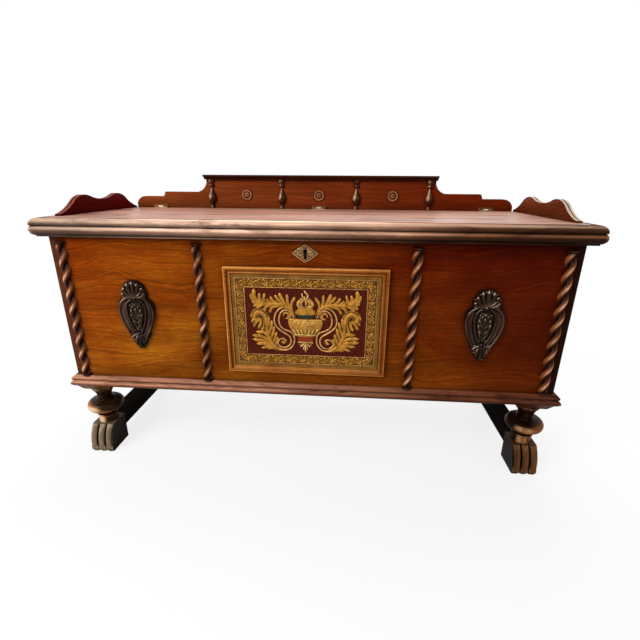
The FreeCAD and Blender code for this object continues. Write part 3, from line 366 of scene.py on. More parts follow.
def bronzed(name, base, worn, along=0, streaks=1.2, metal=0.1, gloss=(0.24, 0.42), sheen=0.06, reach=0.016,
            grime=0.0, crest=0.0, inner=False, neck=False, glint=None, way=(-0.38, -0.62, 0.69), fade=None,
            joint=False, lift=(4.0, 2.2)):
    """Bronzed lacquer over wood, rubbed through on the edges, with painted shade in the hollows.

    grime: painted shade on tops and inner sides. crest: painted highlight on upward faces, broken up
    like rubbing, with painted shade on downward faces. inner: painted shade, nearly black on inner sides and
    darker brown on outer sides. neck: painted shade on the back, the sides and the neck. glint: light on
    what faces one way. fade: painted shade that comes in along X. joint: painted light and shade over the
    rolls of the lid's edge, lighter in the middle and darker toward both ends, and a dark seam."""
    paint = Finish(name, base)
    cloud = paint.noise(9.0, 5.0, 0.62, 0.6)
    smear = paint.noise(drawn(26.0, 5.0, along), 6.0, 0.68, 0.8)
    speck = paint.noise(190.0, 3.0, 0.6)
    both = paint.blend(cloud, 0.45, smear, 0.55)
    paint.skin = paint.ramp(both, ((0.30, 0.42 / streaks), (0.45, 0.85), (0.58, 1.12), (0.75, worn)))
    paint.over(worn, (paint.corner(0.004, True), 0.45, 0.95, 1.0, 0.0), (smear, 0.38, 0.6))
    paint.over(0.3, (speck, 0.62, 0.78, 0.0, 0.6))
    paint.dirt(reach, 0.1, 0.3)
    dull = paint.rough(smear, *gloss)
    side, deep, high = paint.split(paint.place)
    sideways, forward, upward = paint.split(paint.facing)
    outward = paint.times(paint.sum("SIGN", side), sideways)
    brown = ((0.35, tone(30, 18, 10)), (0.65, tone(74, 46, 26)))
    # Painted shade on tops and on inner sides.
    if grime:
        hidden = paint.blend(upward, 0.5, outward, -0.9)
        paint.over(0.05, (hidden, -0.05, 0.45, 0.0, grime))
    # Painted shade on downward faces, and a painted highlight on upward faces, broken up like rubbing.
    if crest:
        paint.over(0.08, (upward, -0.25, -0.85, 0.0, 0.85))
        paint.over(worn, (upward, -0.1, 0.5, 0.0, crest), (smear, 0.36, 0.56))
    # Painted shade: inner sides nearly black, outer sides darker brown.
    if inner:
        paint.over(0.03, (outward, -0.4, -0.8, 0.0, 0.96))
        paint.over(paint.ramp(both, brown), (outward, 0.4, 0.85, 0.0, 0.92))
    # Painted shade on the sides and back, turned from the front.
    if neck:
        paint.over(paint.ramp(both, brown), (forward, -0.3, 0.35, 0.0, 0.85))
    if glint is not None:
        paint.over(glint, (paint.toward(way), 0.82, 0.97), (smear, 0.36, 0.5))
    # Painted shade on the neck under the base.
    if neck:
        paint.over(0.05, (high, NECK_LOW - 2 * MM, NECK_LOW + 2 * MM),
                   (high, NECK_HIGH - 12 * MM, NECK_HIGH, 0.95, 0.7))
    # Painted shade toward the right.
    if fade is not None:
        paint.tint(fade, (side, -0.2, 0.36))
    # Painted light and shade over the rolls, lighter in the middle, darker toward the ends; a dark seam.
    if joint:
        tall = paint.span(high, LIP_LOW[2], LIP_HIGH[2])
        rolls = paint.mix(paint.span(side, -0.1, 0.25), paint.levels(tall, LEFT_ROLLS),
                          paint.levels(tall, RIGHT_ROLLS))
        middle = paint.sum("ABSOLUTE", paint.sum("ADD", side, 0.05))
        level = paint.share(((middle, 0.1, 0.4, *lift), (side, 0.2, 0.5, 1.0, 0.55), (side, -0.5, -0.25, 0.6, 1.0)))
        paint.tint(paint.add("ShaderNodeVectorMath", {0: rolls, 3: level}, operation="SCALE").outputs[0])
        paint.over(worn, paint.levels(tall, NOSE_LINE), (smear, 0.36, 0.54, 0.3, 1.0))
        across = paint.sum("SUBTRACT", paint.sum("ABSOLUTE", side), LID_HIGH[0])
        ahead = paint.sum("SUBTRACT", LID_LOW[1], deep)
        seam = paint.span(paint.sum("MAXIMUM", across, ahead), 7 * MM, 10 * MM, 0.97, 0.0)
        paint.over(0.04, seam)
        dull = paint.sum("MAXIMUM", dull, seam)
    return paint.done(sheen, dull, (paint.blend(smear, 1.0, speck, 0.4), 0.2, 0.0008), Metallic=metal)


def roped(name, node, base, worn):
    """Twisted column: rubbed strands with a painted highlight, painted shade nearly black in the grooves and ends."""
    paint = Finish(name, base)
    low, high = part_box(node)
    radius = high[1] - low[1]
    across, deep, up = paint.split(paint.laid((1.0, 1.0, 1.0), (-(low[0] + high[0]) / 2, -high[1], 0.0)))
    strand = paint.span(paint.away(across, deep), radius * 0.5, radius * 0.99)
    smear = paint.noise((40.0, 40.0, 14.0), 5.0, 0.65, 0.8)
    speck = paint.noise(210.0, 3.0, 0.6)
    # Lighter out on the strands, darker toward the grooves as painted shade.
    rubbed = paint.blend(strand, 0.75, smear, 0.4)
    paint.skin = paint.ramp(rubbed, ((0.26, 0.09), (0.48, 0.5), (0.7, base), (0.88, worn)))
    paint.over(0.3, (speck, 0.62, 0.78, 0.0, 0.5))
    # Painted highlight along the front of each strand.
    paint.over(tone(200, 152, 118), (strand, 0.86, 0.99), (paint.toward(AHEAD), 0.72, 0.97),
               (smear, 0.38, 0.56, 0.15, 1.0))
    # Painted shade at both ends.
    ends = paint.sum("MINIMUM", paint.sum("SUBTRACT", up, low[2]), paint.sum("SUBTRACT", high[2], up))
    paint.over(0.14, (ends, 4 * MM, 12 * MM, 0.94, 0.0))
    return paint.done(0.04, paint.rough(smear, 0.2, 0.36), (smear, 0.15, 0.0006))


def ringed(name, node, base, worn):
    """Row of turned rosettes, with painted shade dark in the grooves between their rings."""
    paint = Finish(name, base)
    low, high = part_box(node)
    radius = (high[2] - low[2]) / 2
    pitch = (high[0] - low[0]) / 2 - radius
    side, _, up = paint.split(paint.place)
    across = paint.sum("PINGPONG", side, pitch / 2)
    share = paint.sum("DIVIDE", paint.away(across, paint.sum("SUBTRACT", up, low[2] + radius)), radius)
    smear = paint.noise(60.0, 4.0, 0.6)
    paler = shade(worn, 0.8)
    paint.skin = paint.ramp(share, ((0.0, 0.1), (0.12, 0.15), (0.2, worn), (0.36, paler), (0.46, 0.2), (0.6, 0.12),
                                    (0.7, paler), (0.86, worn), (0.97, 0.2)))
    paint.over(0.5, (smear, 0.4, 0.7, 0.0, 0.5))
    return paint.done(0.04, paint.rough(smear, 0.3, 0.5), (smear, 0.15, 0.0004))


def plain_wood(name, base, along=0, sheen=0.08):
    """Bare or stained board."""
    paint = Finish(name, base)
    figure, pore = grain(paint, along, 0.6, 1.35, 9.0 / 7.0, rings=0.25)
    paint.dirt(0.05, 0.45)
    return paint.done(sheen, paint.rough(figure, 0.55, 0.75), (pore, 0.25, 0.0005))


def metal(name, base, dull, gloss=(0.22, 0.5)):
    """Old metal, tarnished in patches."""
    paint = Finish(name, base)
    patch = paint.noise(60.0, 6.0, 0.65)
    scratch = paint.noise((900.0, 60.0, 400.0), 2.0)
    paint.skin = paint.mix(paint.span(patch, 0.4, 0.68), base, dull)
    paint.dirt(0.004, 0.25)
    return paint.done(0.5, paint.rough(patch, *gloss), (scratch, 0.1, 0.0002), Metallic=0.85)


def gilding(name, gold, deep, bands=(), flank=0.45):
    """Rubbed gold on carving, with painted shade down its flanks and in its hollows and a painted highlight on
    what faces up and ahead; bands of other colours lie between heights on the panel.
    """
    paint = Finish(name, gold)
    rub = paint.noise(75.0, 5.0, 0.65)
    speck = paint.noise(520.0, 3.0, 0.6)
    paint.skin = paint.ramp(rub, ((0.3, 0.4), (0.47, 0.85), (0.7, 1.25)))
    height = paint.split(paint.place)[2]
    soft = 0.4 * MM
    for low, high, hue in bands:
        paint.over(hue, (height, low - soft, low + soft), (height, high - soft, high + soft, 1.0, 0.0))
    # Painted shade: the deep colour down the flanks and in the hollows.
    top = paint.share(((paint.corner(0.006), 0.5, 0.96), (paint.toward(AHEAD), flank, 0.92, 0.1)))
    paint.skin = paint.mix(top, deep, paint.skin)
    # Painted highlight on what faces up and ahead.
    paint.over(2.0, (paint.toward((-0.25, -0.8, 0.55)), 0.9, 0.985, 0.0, 0.8), (rub, 0.4, 0.55))
    return paint.done(0.05, paint.rough(rub, 0.34, 0.55), (speck, 0.25, 0.0006), Metallic=0.1)


def beyond(paint, half_wide, half_high):
    """Distance outside an upright rectangle about the carved panel's middle."""
    side, _, high = paint.split(paint.place)
    across = paint.sum("SUBTRACT", paint.sum("ABSOLUTE", side), half_wide)
    upward = paint.sum("SUBTRACT", paint.sum("ABSOLUTE", paint.sum("SUBTRACT", high, PANEL_MID)), half_high)
    return paint.sum("MAXIMUM", across, upward)


def stippled(name, ground, band_ground, plain, slip, band):
    """Carved panel's own board: punched ground inside, the band's dark ground and a plain strip round it."""
    paint = Finish(name, ground)
    out = beyond(paint, PANEL_HALF_WIDE * MM - slip - band, PANEL_HALF_HIGH * MM - slip - band)
    dots = paint.add("ShaderNodeTexVoronoi", {"Vector": paint.place, "Scale": 420.0}).outputs["Distance"]
    cloud = paint.noise(40.0, 5.0, 0.6)
    both = paint.blend(cloud, 0.6, paint.noise(300.0, 3.0, 0.6), 0.4)
    paint.skin = paint.ramp(dots, ((0.15, 0.5), (0.5, 1.0), (0.85, 2.0)))
    soft = 0.3 * MM
    for start, hue in ((0.0, band_ground), (band, plain)):
        strip = paint.ramp(both, ((0.3, shade(hue, 0.5)), (0.5, hue), (0.7, shade(hue, 1.5))))
        paint.over(strip, (out, start - soft, start + soft))
    paint.dirt(0.012, 0.3)
    return paint.done(0.03, paint.rough(cloud, 0.4, 0.6), (dots, 0.5, 0.0008))


# Painted shade and painted highlights across a frame strip, from the panel outward.
FRAME_SHADOW = ((0.0, 0.05), (0.1, 0.5), (0.2, 1.0), (0.42, 0.8), (0.5, 0.22), (0.56, 0.3), (0.66, 1.0), (1.0, 1.0))
FRAME_LIGHT = ((0.12, 0.0), (0.2, 0.7), (0.3, 0.1), (0.82, 0.0), (0.9, 0.85), (1.0, 0.35))


def framed(name, golden, pale):
    """Lacquered frame strips, with painted highlights on the ridges and upward faces, broken up like rubbing,
    and painted shade in the grooves beside the panel and over the right-hand strip.
    """
    paint = Finish(name, golden)
    figure, pore = grain(paint, 0, 0.6, 1.3)
    out = paint.span(beyond(paint, PANEL_HALF_WIDE * MM, PANEL_HALF_HIGH * MM), 0.0, 16 * MM)
    rub = paint.span(paint.noise(24.0, 5.0, 0.65), 0.3, 0.55, 0.35, 1.0)
    # Painted shade in the grooves and painted highlights on the ridges.
    paint.tint(paint.levels(out, FRAME_SHADOW))
    paint.over(pale, paint.levels(out, FRAME_LIGHT), rub)
    # Painted highlight on upward faces.
    paint.over(pale, (paint.toward(UP), 0.1, 0.5, 0.0, 0.42), rub)
    # Painted shade on the right-hand strip.
    paint.tint((0.45, 0.38, 0.3), (paint.split(paint.place)[0], 0.05, PANEL_HALF_WIDE * MM, 0.0, 0.45))
    paint.dirt(0.008, 0.3)
    return paint.done(0.03, paint.rough(figure, 0.28, 0.45), (pore, 0.12, 0.0004))


class CHEST_OT_finishes(bpy.types.Operator):
    """Wood, bronzed lacquer and metal on the chest's own pieces"""
    bl_idname = "chest.finishes"
    bl_label = "Finishes"

    def execute(self, context):
        wood = context.scene.chest_wood
        carving = context.scene.chest_carving
        made = {}

        def dress(make, slot, *colours, **settings):
            made[slot] = make(slot, *colours, **settings)

        dress(veneer, "front_veneer", wood.front_pale, far=wood.front_deep, stile=wood.stile)
        dress(plain_wood, "back_wood", tone(92, 60, 38))
        dress(plain_wood, "cedar", tone(178, 112, 76))
        # The lid's top takes a painted glare; its underside takes a plainer colour.
        dress(veneer, "lid_veneer", wood.lid, gloss=(0.2, 0.75), dark=0.55, light=1.6, sheen=0.55,
              bloom=tone(204, 138, 92), haze=0.45, back=((0.0, 0.0, -1.0), (0.62, 1.15, 1.3)))
        dress(bronzed, "lid_edge", wood.bronzed, wood.worn, sheen=0.02, crest=0.75, fade=(0.55, 0.34, 0.22),
              joint=True)
        # The gallery takes painted shade toward the right and on its back face.
        dress(veneer, "gallery_veneer", wood.gallery, far=tone(116, 38, 10), gloss=(0.34, 0.5),
              back=((0.0, 1.0, 0.0), (0.3, 0.75, 2.2)))
        dress(bronzed, "gallery_turnings", tone(72, 36, 20), tone(140, 92, 62), along=2, gloss=(0.14, 0.26),
              sheen=0.08, glint=tone(184, 142, 110), way=(-0.52, -0.8, 0.3))
        dress(framed, "frame_wood", wood.golden, tone(232, 160, 84))
        dress(bronzed, "base_edge", wood.base, tone(196, 140, 110), gloss=(0.26, 0.44), crest=0.7,
              fade=(0.4, 0.27, 0.2))
        dress(bronzed, "leg_wood", wood.leg, tone(180, 128, 80), along=2, streaks=1.4, gloss=(0.2, 0.36), reach=0.03,
              grime=0.98, neck=True, glint=tone(218, 184, 144), way=(-0.35, -0.93, 0.1), fade=(0.55, 0.4, 0.3))
        dress(plain_wood, "stretcher_wood", tone(16, 11, 8), along=1, sheen=0.01)
        dress(metal, "brass", tone(238, 218, 180), tone(190, 158, 116))
        dress(metal, "steel", tone(150, 150, 156), tone(90, 84, 80))
        made["carved_wood"] = stippled("carved_ground", carving.ground, carving.band_ground, carving.plain,
                                       carving.slip, carving.band)
        made["cartouche_wood"] = bronzed("cartouche_bronze", shade(carving.bronze, 0.4), carving.bronze, 2,
                                         metal=0.0, gloss=(0.24, 0.45), sheen=0.04)
        dull = metal("hinge_brass", tone(140, 90, 54), tone(96, 56, 32), (0.4, 0.6))
        own = {
            "gallery_cornice": veneer("cornice_stain", tone(66, 32, 21), gloss=(0.3, 0.46)),
            "gallery_rosettes": ringed("rosette_wood", "gallery_rosettes", tone(112, 56, 30), tone(178, 118, 80)),
            "hinge_fixed_leaves": dull,
            "hinge_screws_board": dull,
            "lock_case": metal("blackened_iron", tone(26, 22, 20), tone(16, 13, 12), (0.5, 0.7)),
        }
        ends = veneer("end_veneer", wood.front_deep, 1)
        lip = bronzed("lid_side_edge", wood.bronzed, shade(wood.worn, 0.6), 1, metal=0.0, sheen=0.03, crest=0.3,
                      fade=(0.6, 0.45, 0.35), joint=True, lift=(1.2, 1.2))
        rim = bronzed("base_side_edge", wood.base, tone(140, 94, 68), 1, metal=0.0, gloss=(0.26, 0.44), sheen=0.04,
                      crest=0.3, fade=(0.6, 0.45, 0.35))
        feet = bronzed("foot_wood", wood.foot, tone(184, 162, 132), along=2, streaks=1.4, metal=0.05, reach=0.012,
                       grime=0.5, inner=True, fade=(0.62, 0.36, 0.2))
        # Each side gallery's upward edges take a painted highlight, paler on the right.
        for side, gallery, edge, strand in (
                ("left", tone(86, 5, 1), tone(140, 80, 62), tone(112, 66, 40)),
                ("right", tone(104, 44, 16), tone(204, 186, 168), tone(124, 68, 32))):
            own.update({f"{side}_end_panel": ends, f"lid_moulding_{side}": lip, f"base_moulding_{side}": rim,
                        f"foot_front_{side}": feet, f"foot_back_{side}": feet})
            own[f"side_gallery_{side}"] = veneer(f"{side}_gallery_veneer", gallery, 1, gloss=(0.34, 0.5), dark=0.6,
                                                 light=1.3, edge=edge)
            for row in ("outer", "inner"):
                column = f"twist_column_{row}_{side}"
                own[column] = roped(f"{column}_lacquer", column, wood.twist, strand)
        for part in frame["record"]["subparts"]:
            item = frame["nodes"][part["node"]]
            item.data.materials.clear()
            item.data.materials.append(own.get(part["node"]) or made[part["material_slot"]])
        return {"FINISHED"}


def strokes(name, lines, depth, face_y, middle, swell=3, fine=6, crown=None, unit=MM):
    """Carved strokes as one mesh: each is (points, half widths, closed) in small units on an upright face."""
    data = bpy.data.curves.new(name, "CURVE")
    data.dimensions = "3D"
    data.bevel_depth = 1.0
    data.bevel_resolution = swell
    data.resolution_u = fine
    data.use_fill_caps = True
    for points, widths, closed in lines:
        line = data.splines.new("BEZIER")
        line.bezier_points.add(len(points) - 1)
        line.use_cyclic_u = closed
        for spot, (across, up), wide in zip(line.bezier_points, points, widths):
            spot.co = (middle[0] + across * unit, 0.0, middle[1] + up * unit)
            spot.radius = wide * unit
            spot.handle_left_type = "VECTOR" if closed else "AUTO"
            spot.handle_right_type = spot.handle_left_type
    item = bpy.data.objects.new(name, data)
    bpy.context.collection.objects.link(item)
    bpy.ops.object.select_all(action="DESELECT")
    item.select_set(True)
    bpy.context.view_layer.objects.active = item
    bpy.ops.object.convert(target="MESH")
    item = bpy.context.active_object
    item.data.transform(Matrix.Translation((0.0, face_y, 0.0)) @ Matrix.Diagonal((1.0, depth, 1.0, 1.0)))
    if crown is not None:
        half, high = crown
        for vertex in item.data.vertices:
            share = min(abs(vertex.co.x - middle[0]) / half, 1.0)
            vertex.co.y -= high * math.sqrt(1.0 - share * share)
    bpy.ops.object.shade_smooth()
    return item


def finger(base, bend, tip, wide):
    """One lobe of a leaf: narrow at its root, full and rounded at its tip."""
    near = tuple(b + (t - b) * 0.7 for b, t in zip(bend, tip))
    return ((base, bend, near, tip), (wide * 0.5, wide * 0.9, wide, wide * 0.3), False)


def ball(spot, radius):
    left = (spot[0] - radius * 0.9, spot[1])
    right = (spot[0] + radius * 0.9, spot[1])
    return ((left, spot, right), (radius * 0.25, radius, radius * 0.25), False)


def level(half, up, wide):
    """A level stroke across the middle, a little fuller there."""
    return (((-half, up), (0, up), (half, up)), (wide, wide + 0.2, wide), False)


def flip(line):
    """The same stroke on the other side of the middle."""
    points, widths, closed = line
    return (tuple((-across, up) for across, up in points), widths, closed)


def both_sides(lines):
    return list(lines) + [flip(line) for line in lines]


def smooth(points, steps=5):
    """Points along an even curve through the given ones."""
    ends = [points[0]] + list(points) + [points[-1]]
    out = []
    for index in range(1, len(ends) - 2):
        a, b, c, d = (Vector(ends[index + k]) for k in (-1, 0, 1, 2))
        for step in range(steps):
            t = step / steps
            out.append(tuple(0.5 * (2 * b + (c - a) * t + (2 * a - 5 * b + 4 * c - d) * t * t
                                    + (3 * b - a - 3 * c + d) * t ** 3)))
    out.append(tuple(points[-1]))
    return out


def rib(points, wide=2.3):
    """A thin even rib that tapers at its ends."""
    line = smooth(points, 3)
    return (tuple(line), tuple(wide * (0.55 if index in (0, len(line) - 1) else 1.0) for index in range(len(line))),
            False)


RIBS = (
    ((-27, 11), (-31, 25), (-38, 34), (-49, 37), (-60, 33), (-69, 22), (-73, 6), (-70, -8), (-60, -19), (-48, -27),
     (-38, -34), (-34, -45), (-38, -57), (-48, -63), (-60, -61), (-66, -52), (-61, -43), (-52, -41), (-45, -47)),
    ((-44, 9), (-36, 14), (-34, 23), (-41, 30), (-51, 29), (-59, 20), (-62, 4), (-58, -10), (-48, -18), (-37, -22),
     (-29, -29), (-26, -42), (-29, -56), (-39, -67), (-53, -70), (-66, -68)),
)
CURLS = (
    (((-52, 15), (-49, 22), (-42, 23.5), (-38.5, 17), (-43, 11), (-48, 9)), (1.4, 2.8, 3.8, 3.8, 2.8, 1.0)),
    (((-57, -50), (-52, -50), (-46.5, -50)), (2.2, 5.8, 2.2)),
)
LEAVES = (
    ((-29, 20), (-32, 46), (-23, 62), 4.4), ((-33, 28), (-41, 52), (-42, 68), 4.4),
    ((-42, 38), (-53, 56), (-60, 71), 5.4), ((-48, 41), (-63, 56), (-70, 65), 4.6),
    ((-62, 43), (-75, 53), (-81, 62), 4.4), ((-72, 44), (-86, 51), (-89, 57), 3.8),
    ((-84, 45), (-96, 56), (-93, 69), 4.4), ((-94, 47), (-106, 58), (-105, 69), 4.4),
    ((-104, 49), (-118, 62), (-118, 79), 6.0), ((-104, 46), (-121, 54), (-127, 68), 5.0),
    ((-100, 44), (-116, 46), (-125, 51), 4.6),
    ((-60, 41), (-78, 34), (-84, 23), 4.6), ((-74, 43), (-91, 36), (-97, 25), 4.8),
    ((-90, 44), (-107, 38), (-114, 30), 4.8), ((-98, 44), (-115, 40), (-122, 37), 4.2),
    ((-72, -60), (-68, -48), (-64, -37), 4.0), ((-78, -54), (-72, -40), (-68, -25), 4.4),
    ((-84, -44), (-77, -28), (-73, -11), 4.6), ((-88, -32), (-81, -14), (-78, 4), 4.6),
    ((-91, -18), (-86, 0), (-86, 13), 4.2),
    ((-104, 8), (-106, -6), (-112, -18), 4.8), ((-106, 6), (-117, -3), (-123, -14), 4.8),
    ((-112, 8), (-122, 4), (-127, -3), 3.6), ((-116, 20), (-125, 18), (-128, 10), 3.6),
    ((-97, -2), (-100, -14), (-104, -23), 3.8),
    ((-86, -42), (-97, -27), (-117, -26), 5.2), ((-84, -48), (-104, -37), (-126, -35), 5.4),
    ((-80, -54), (-102, -47), (-126, -45), 5.2), ((-76, -59), (-98, -55), (-117, -56), 5.0),
    ((-70, -64), (-90, -62), (-107, -67), 4.6), ((-60, -68), (-76, -66), (-92, -67), 3.4),
)
STEMS = (
    (((-27, 10), (-31, 26), (-42, 39), (-64, 44), (-88, 44), (-108, 50), (-119, 64)),
     (2.2, 3.4, 4.4, 4.6, 4.6, 4.4, 2.4)),
    (((-54, -69), (-72, -62), (-84, -46), (-90, -24), (-92, -2), (-96, 12)), (2.4, 4.6, 5.6, 5.0, 4.4, 3.0)),
    (((-90, -20), (-91, 0), (-95, 16), (-106, 24), (-117, 20), (-120, 10), (-113, 4), (-107, 9)),
     (3.0, 4.0, 4.8, 5.2, 5.2, 4.6, 3.8, 2.4)),
)
URN = ((0, -48), (18, -48), (18, -34), (27, -33), (29, -31), (28, -28), (34, -19), (39, -8), (41, 2), (40, 8),
       (36, 10.5), (17.5, 11), (17.5, 20), (22, 21), (24, 25), (22, 30), (17, 32), (18, 36), (0, 36))
URN_STEPS = 48
URN_FLATNESS = 0.11
URN_MERGE = 0.00001
# Half width and height of the swell that strokes lie on.
URN_CROWN = (0.041, 0.004)
CARTOUCHE_CROWN = (0.05, 0.003)
# Faces that meet at less than this look smooth, in radians.
URN_ANGLE = 0.6
REED_ANGLE = 0.7
URN_BANDS = ((11.5, 19.5, tone(32, 54, 42)), (-46.5, -34.5, tone(128, 48, 26)))


def band_pattern():
    """Vine with curls and leaves along the four sides of the band, in millimetres."""
    carving = bpy.context.scene.chest_carving
    inset = (carving.slip + carving.band / 2) / MM
    half_wide = PANEL_HALF_WIDE - inset
    half_high = PANEL_HALF_HIGH - inset
    grow = carving.band / MM / 14
    lines = []
    for half, other, upright, sign in ((half_wide, half_high, False, 1), (half_wide, half_high, False, -1),
                                       (half_high, half_wide, True, 1), (half_high, half_wide, True, -1)):
        count = 2 * round(half / 16.5)
        pitch = 2 * half / count

        def spot(along, off):
            point = (along, sign * (other + off * grow))
            return (point[1], point[0]) if upright else point

        vine = []
        for step in range(2 * count + 1):
            along = -half + step * pitch / 2
            vine.append(spot(along, 3.4 * math.sin(math.pi * step / 2)))
        lines.append((tuple(vine), tuple(1.6 for point in vine), False))
        for step in range(count):
            along = -half + (step + 0.5) * pitch
            way = 1 if step % 2 == 0 else -1
            curl = ((-3, 2.4), (1.6, -1.0), (-1.0, -4.6), (-4.8, -3.4), (-3.4, -0.6))
            lines.append((tuple(spot(along + far, way * off) for far, off in curl), (1.2, 1.7, 1.9, 1.9, 1.3), False))
            for leaf, wide in ((((1, 2.6), (4, 4.6), (8, 4.2)), 2.1), (((3, 1.0), (5.4, -2.4), (7.2, -5.2)), 2.2)):
                lines.append(finger(*(spot(along + far, way * off) for far, off in leaf), wide))
            lines.append(ball(spot(along + 3.2, -way * 4.4), 1.3))
    return lines


def square(half_wide, half_high, wide):
    corners = ((-half_wide, -half_high), (half_wide, -half_high), (half_wide, half_high), (-half_wide, half_high))
    return (corners, (wide,) * 4, True)


def fitted(item, finish, body="case"):
    """Give a finished piece its material and the body that it moves with."""
    item.data.materials.clear()
    item.data.materials.append(finish)
    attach(item, body)
    return item


def mended(angle, *steps):
    """Run edit steps on the whole active piece, turn its faces outward and smooth it up to an angle."""
    bpy.ops.object.mode_set(mode="EDIT")
    bpy.ops.mesh.select_all(action="SELECT")
    for step in steps:
        step()
    bpy.ops.mesh.select_all(action="SELECT")
    bpy.ops.mesh.normals_make_consistent(inside=False)
    bpy.ops.object.mode_set(mode="OBJECT")
    bpy.ops.object.shade_smooth_by_angle(angle=angle)


class CHEST_OT_carving(bpy.types.Operator):
    """Urn, scrolls, leaves and patterned band on the carved panel"""
    bl_idname = "chest.carving"
    bl_label = "Carved panel"

    def execute(self, context):
        carving = context.scene.chest_carving
        # Colour of the painted shade down the carving's flanks and in its hollows.
        deep = tone(46, 20, 6)

        def carve(name, lines, finish, depth=carving.relief, unit=CARVED, **more):
            item = strokes(name, lines, depth, PANEL_LOW[1], (0.0, PANEL_MID), unit=unit, **more)
            fitted(item, finish)

        gilt = gilding("panel_gilt", carving.gilt, deep, flank=0.6)
        copper = gilding("rib_gilt", carving.rib, deep, flank=0.2)
        carve("carved_scrolls", both_sides([rib(points) for points in RIBS]), copper, 0.8, fine=2)
        beds = [(points, tuple(wide * 2.1 for wide in widths), False) for points, widths in STEMS]
        carve("carved_beds", both_sides(beds), gilding("bed_gilt", shade(carving.gilt, 0.5), deep), 0.1)
        leaves = [finger(root, bend, tip, wide * 1.02) for root, bend, tip, wide in LEAVES]
        leaves += [(points, widths, False) for points, widths in STEMS + CURLS]
        carve("carved_leaves", both_sides(leaves), gilt)
        band = gilding("band_gilt", shade(carving.gilt, 0.95), shade(carving.band_ground, 0.2))
        carve("carved_band", band_pattern(), band, unit=MM, swell=1, fine=3)
        lines = [square(PANEL_HALF_WIDE - inset / MM, PANEL_HALF_HIGH - inset / MM, wide)
                 for inset, wide in ((carving.slip + carving.band, 1.2), (carving.slip, 0.9))]
        carve("carved_lines", lines, copper, unit=MM)

        bpy.ops.mesh.primitive_plane_add()
        urn = context.active_object
        urn.name = "carved_urn"
        urn.data.clear_geometry()
        spots = [(across * CARVED, 0.0, up * CARVED) for across, up in URN]
        urn.data.from_pydata(spots, [(index, index + 1) for index in range(len(spots) - 1)], [])
        turning = urn.modifiers.new("turning", "SCREW")
        turning.angle = math.tau
        turning.steps = turning.render_steps = URN_STEPS
        turning.use_merge_vertices = True
        turning.merge_threshold = URN_MERGE
        bpy.ops.object.modifier_apply(modifier="turning")
        flat = Matrix.Diagonal((1.0, URN_FLATNESS, 1.0, 1.0))
        urn.data.transform(Matrix.Translation((0.0, PANEL_LOW[1], PANEL_MID)) @ flat)
        mended(URN_ANGLE, lambda: bpy.ops.mesh.remove_doubles(threshold=2 * URN_MERGE))
        bands = [(PANEL_MID + low * CARVED, PANEL_MID + high * CARVED, hue) for low, high, hue in URN_BANDS]
        fitted(urn, gilding("urn_gilt", carving.gilt, deep, bands))

        arches = []
        for step in range(-3, 4):
            middle = step * 11
            arches.append((((middle - 10, -13), (middle - 6, 0), (middle, 4), (middle + 6, 0), (middle + 10, -13)),
                           (0.7, 0.9, 1.0, 0.9, 0.7), False))
            arches.append((((step * 10, -14), (step * 8.4, -21), (step * 7.2, -27)), (1.6, 1.9, 1.2), False))
        arches = [line for line in arches if all(abs(across) < 38 for across, up in line[0])]
        arches += [level(38, 7.4, 1.0), level(26, -28.5, 1.2)]
        carve("urn_arches", arches, gilding("arch_gilt", tone(222, 180, 96), deep), 0.6, crown=URN_CROWN)
        flame = both_sides([finger((-4, 35), (-17, 44), (-8, 60), 4.6), finger((-2, 35), (-10, 46), (-4, 58), 3.4),
                            ball((-16, 44), 3.4)])
        flame += [finger((0, 35), (2, 48), (-2, 64), 3.6)]
        carve("urn_flame", flame, gilding("flame_gilt", tone(190, 136, 70), deep))
        trims = [finger((1, 57), (6, 65), (-3, 78), 3.0), finger((-1, 57), (-6, 63), (-8, 71), 2.2),
                 level(21, 24, 1.9), level(18, -49.5, 1.6), finger((0, -51), (0, -60), (0, -74), 2.8)]
        trims += both_sides([finger((-3, -52), (-8, -57), (-12, -60), 2.6), ball((-13, -55), 2.2),
                             finger((-1, -54), (-4, -62), (-5, -68), 2.2)])
        carve("urn_trims", trims, gilding("trim_gilt", tone(206, 160, 96), deep), 0.7)
        return {"FINISHED"}


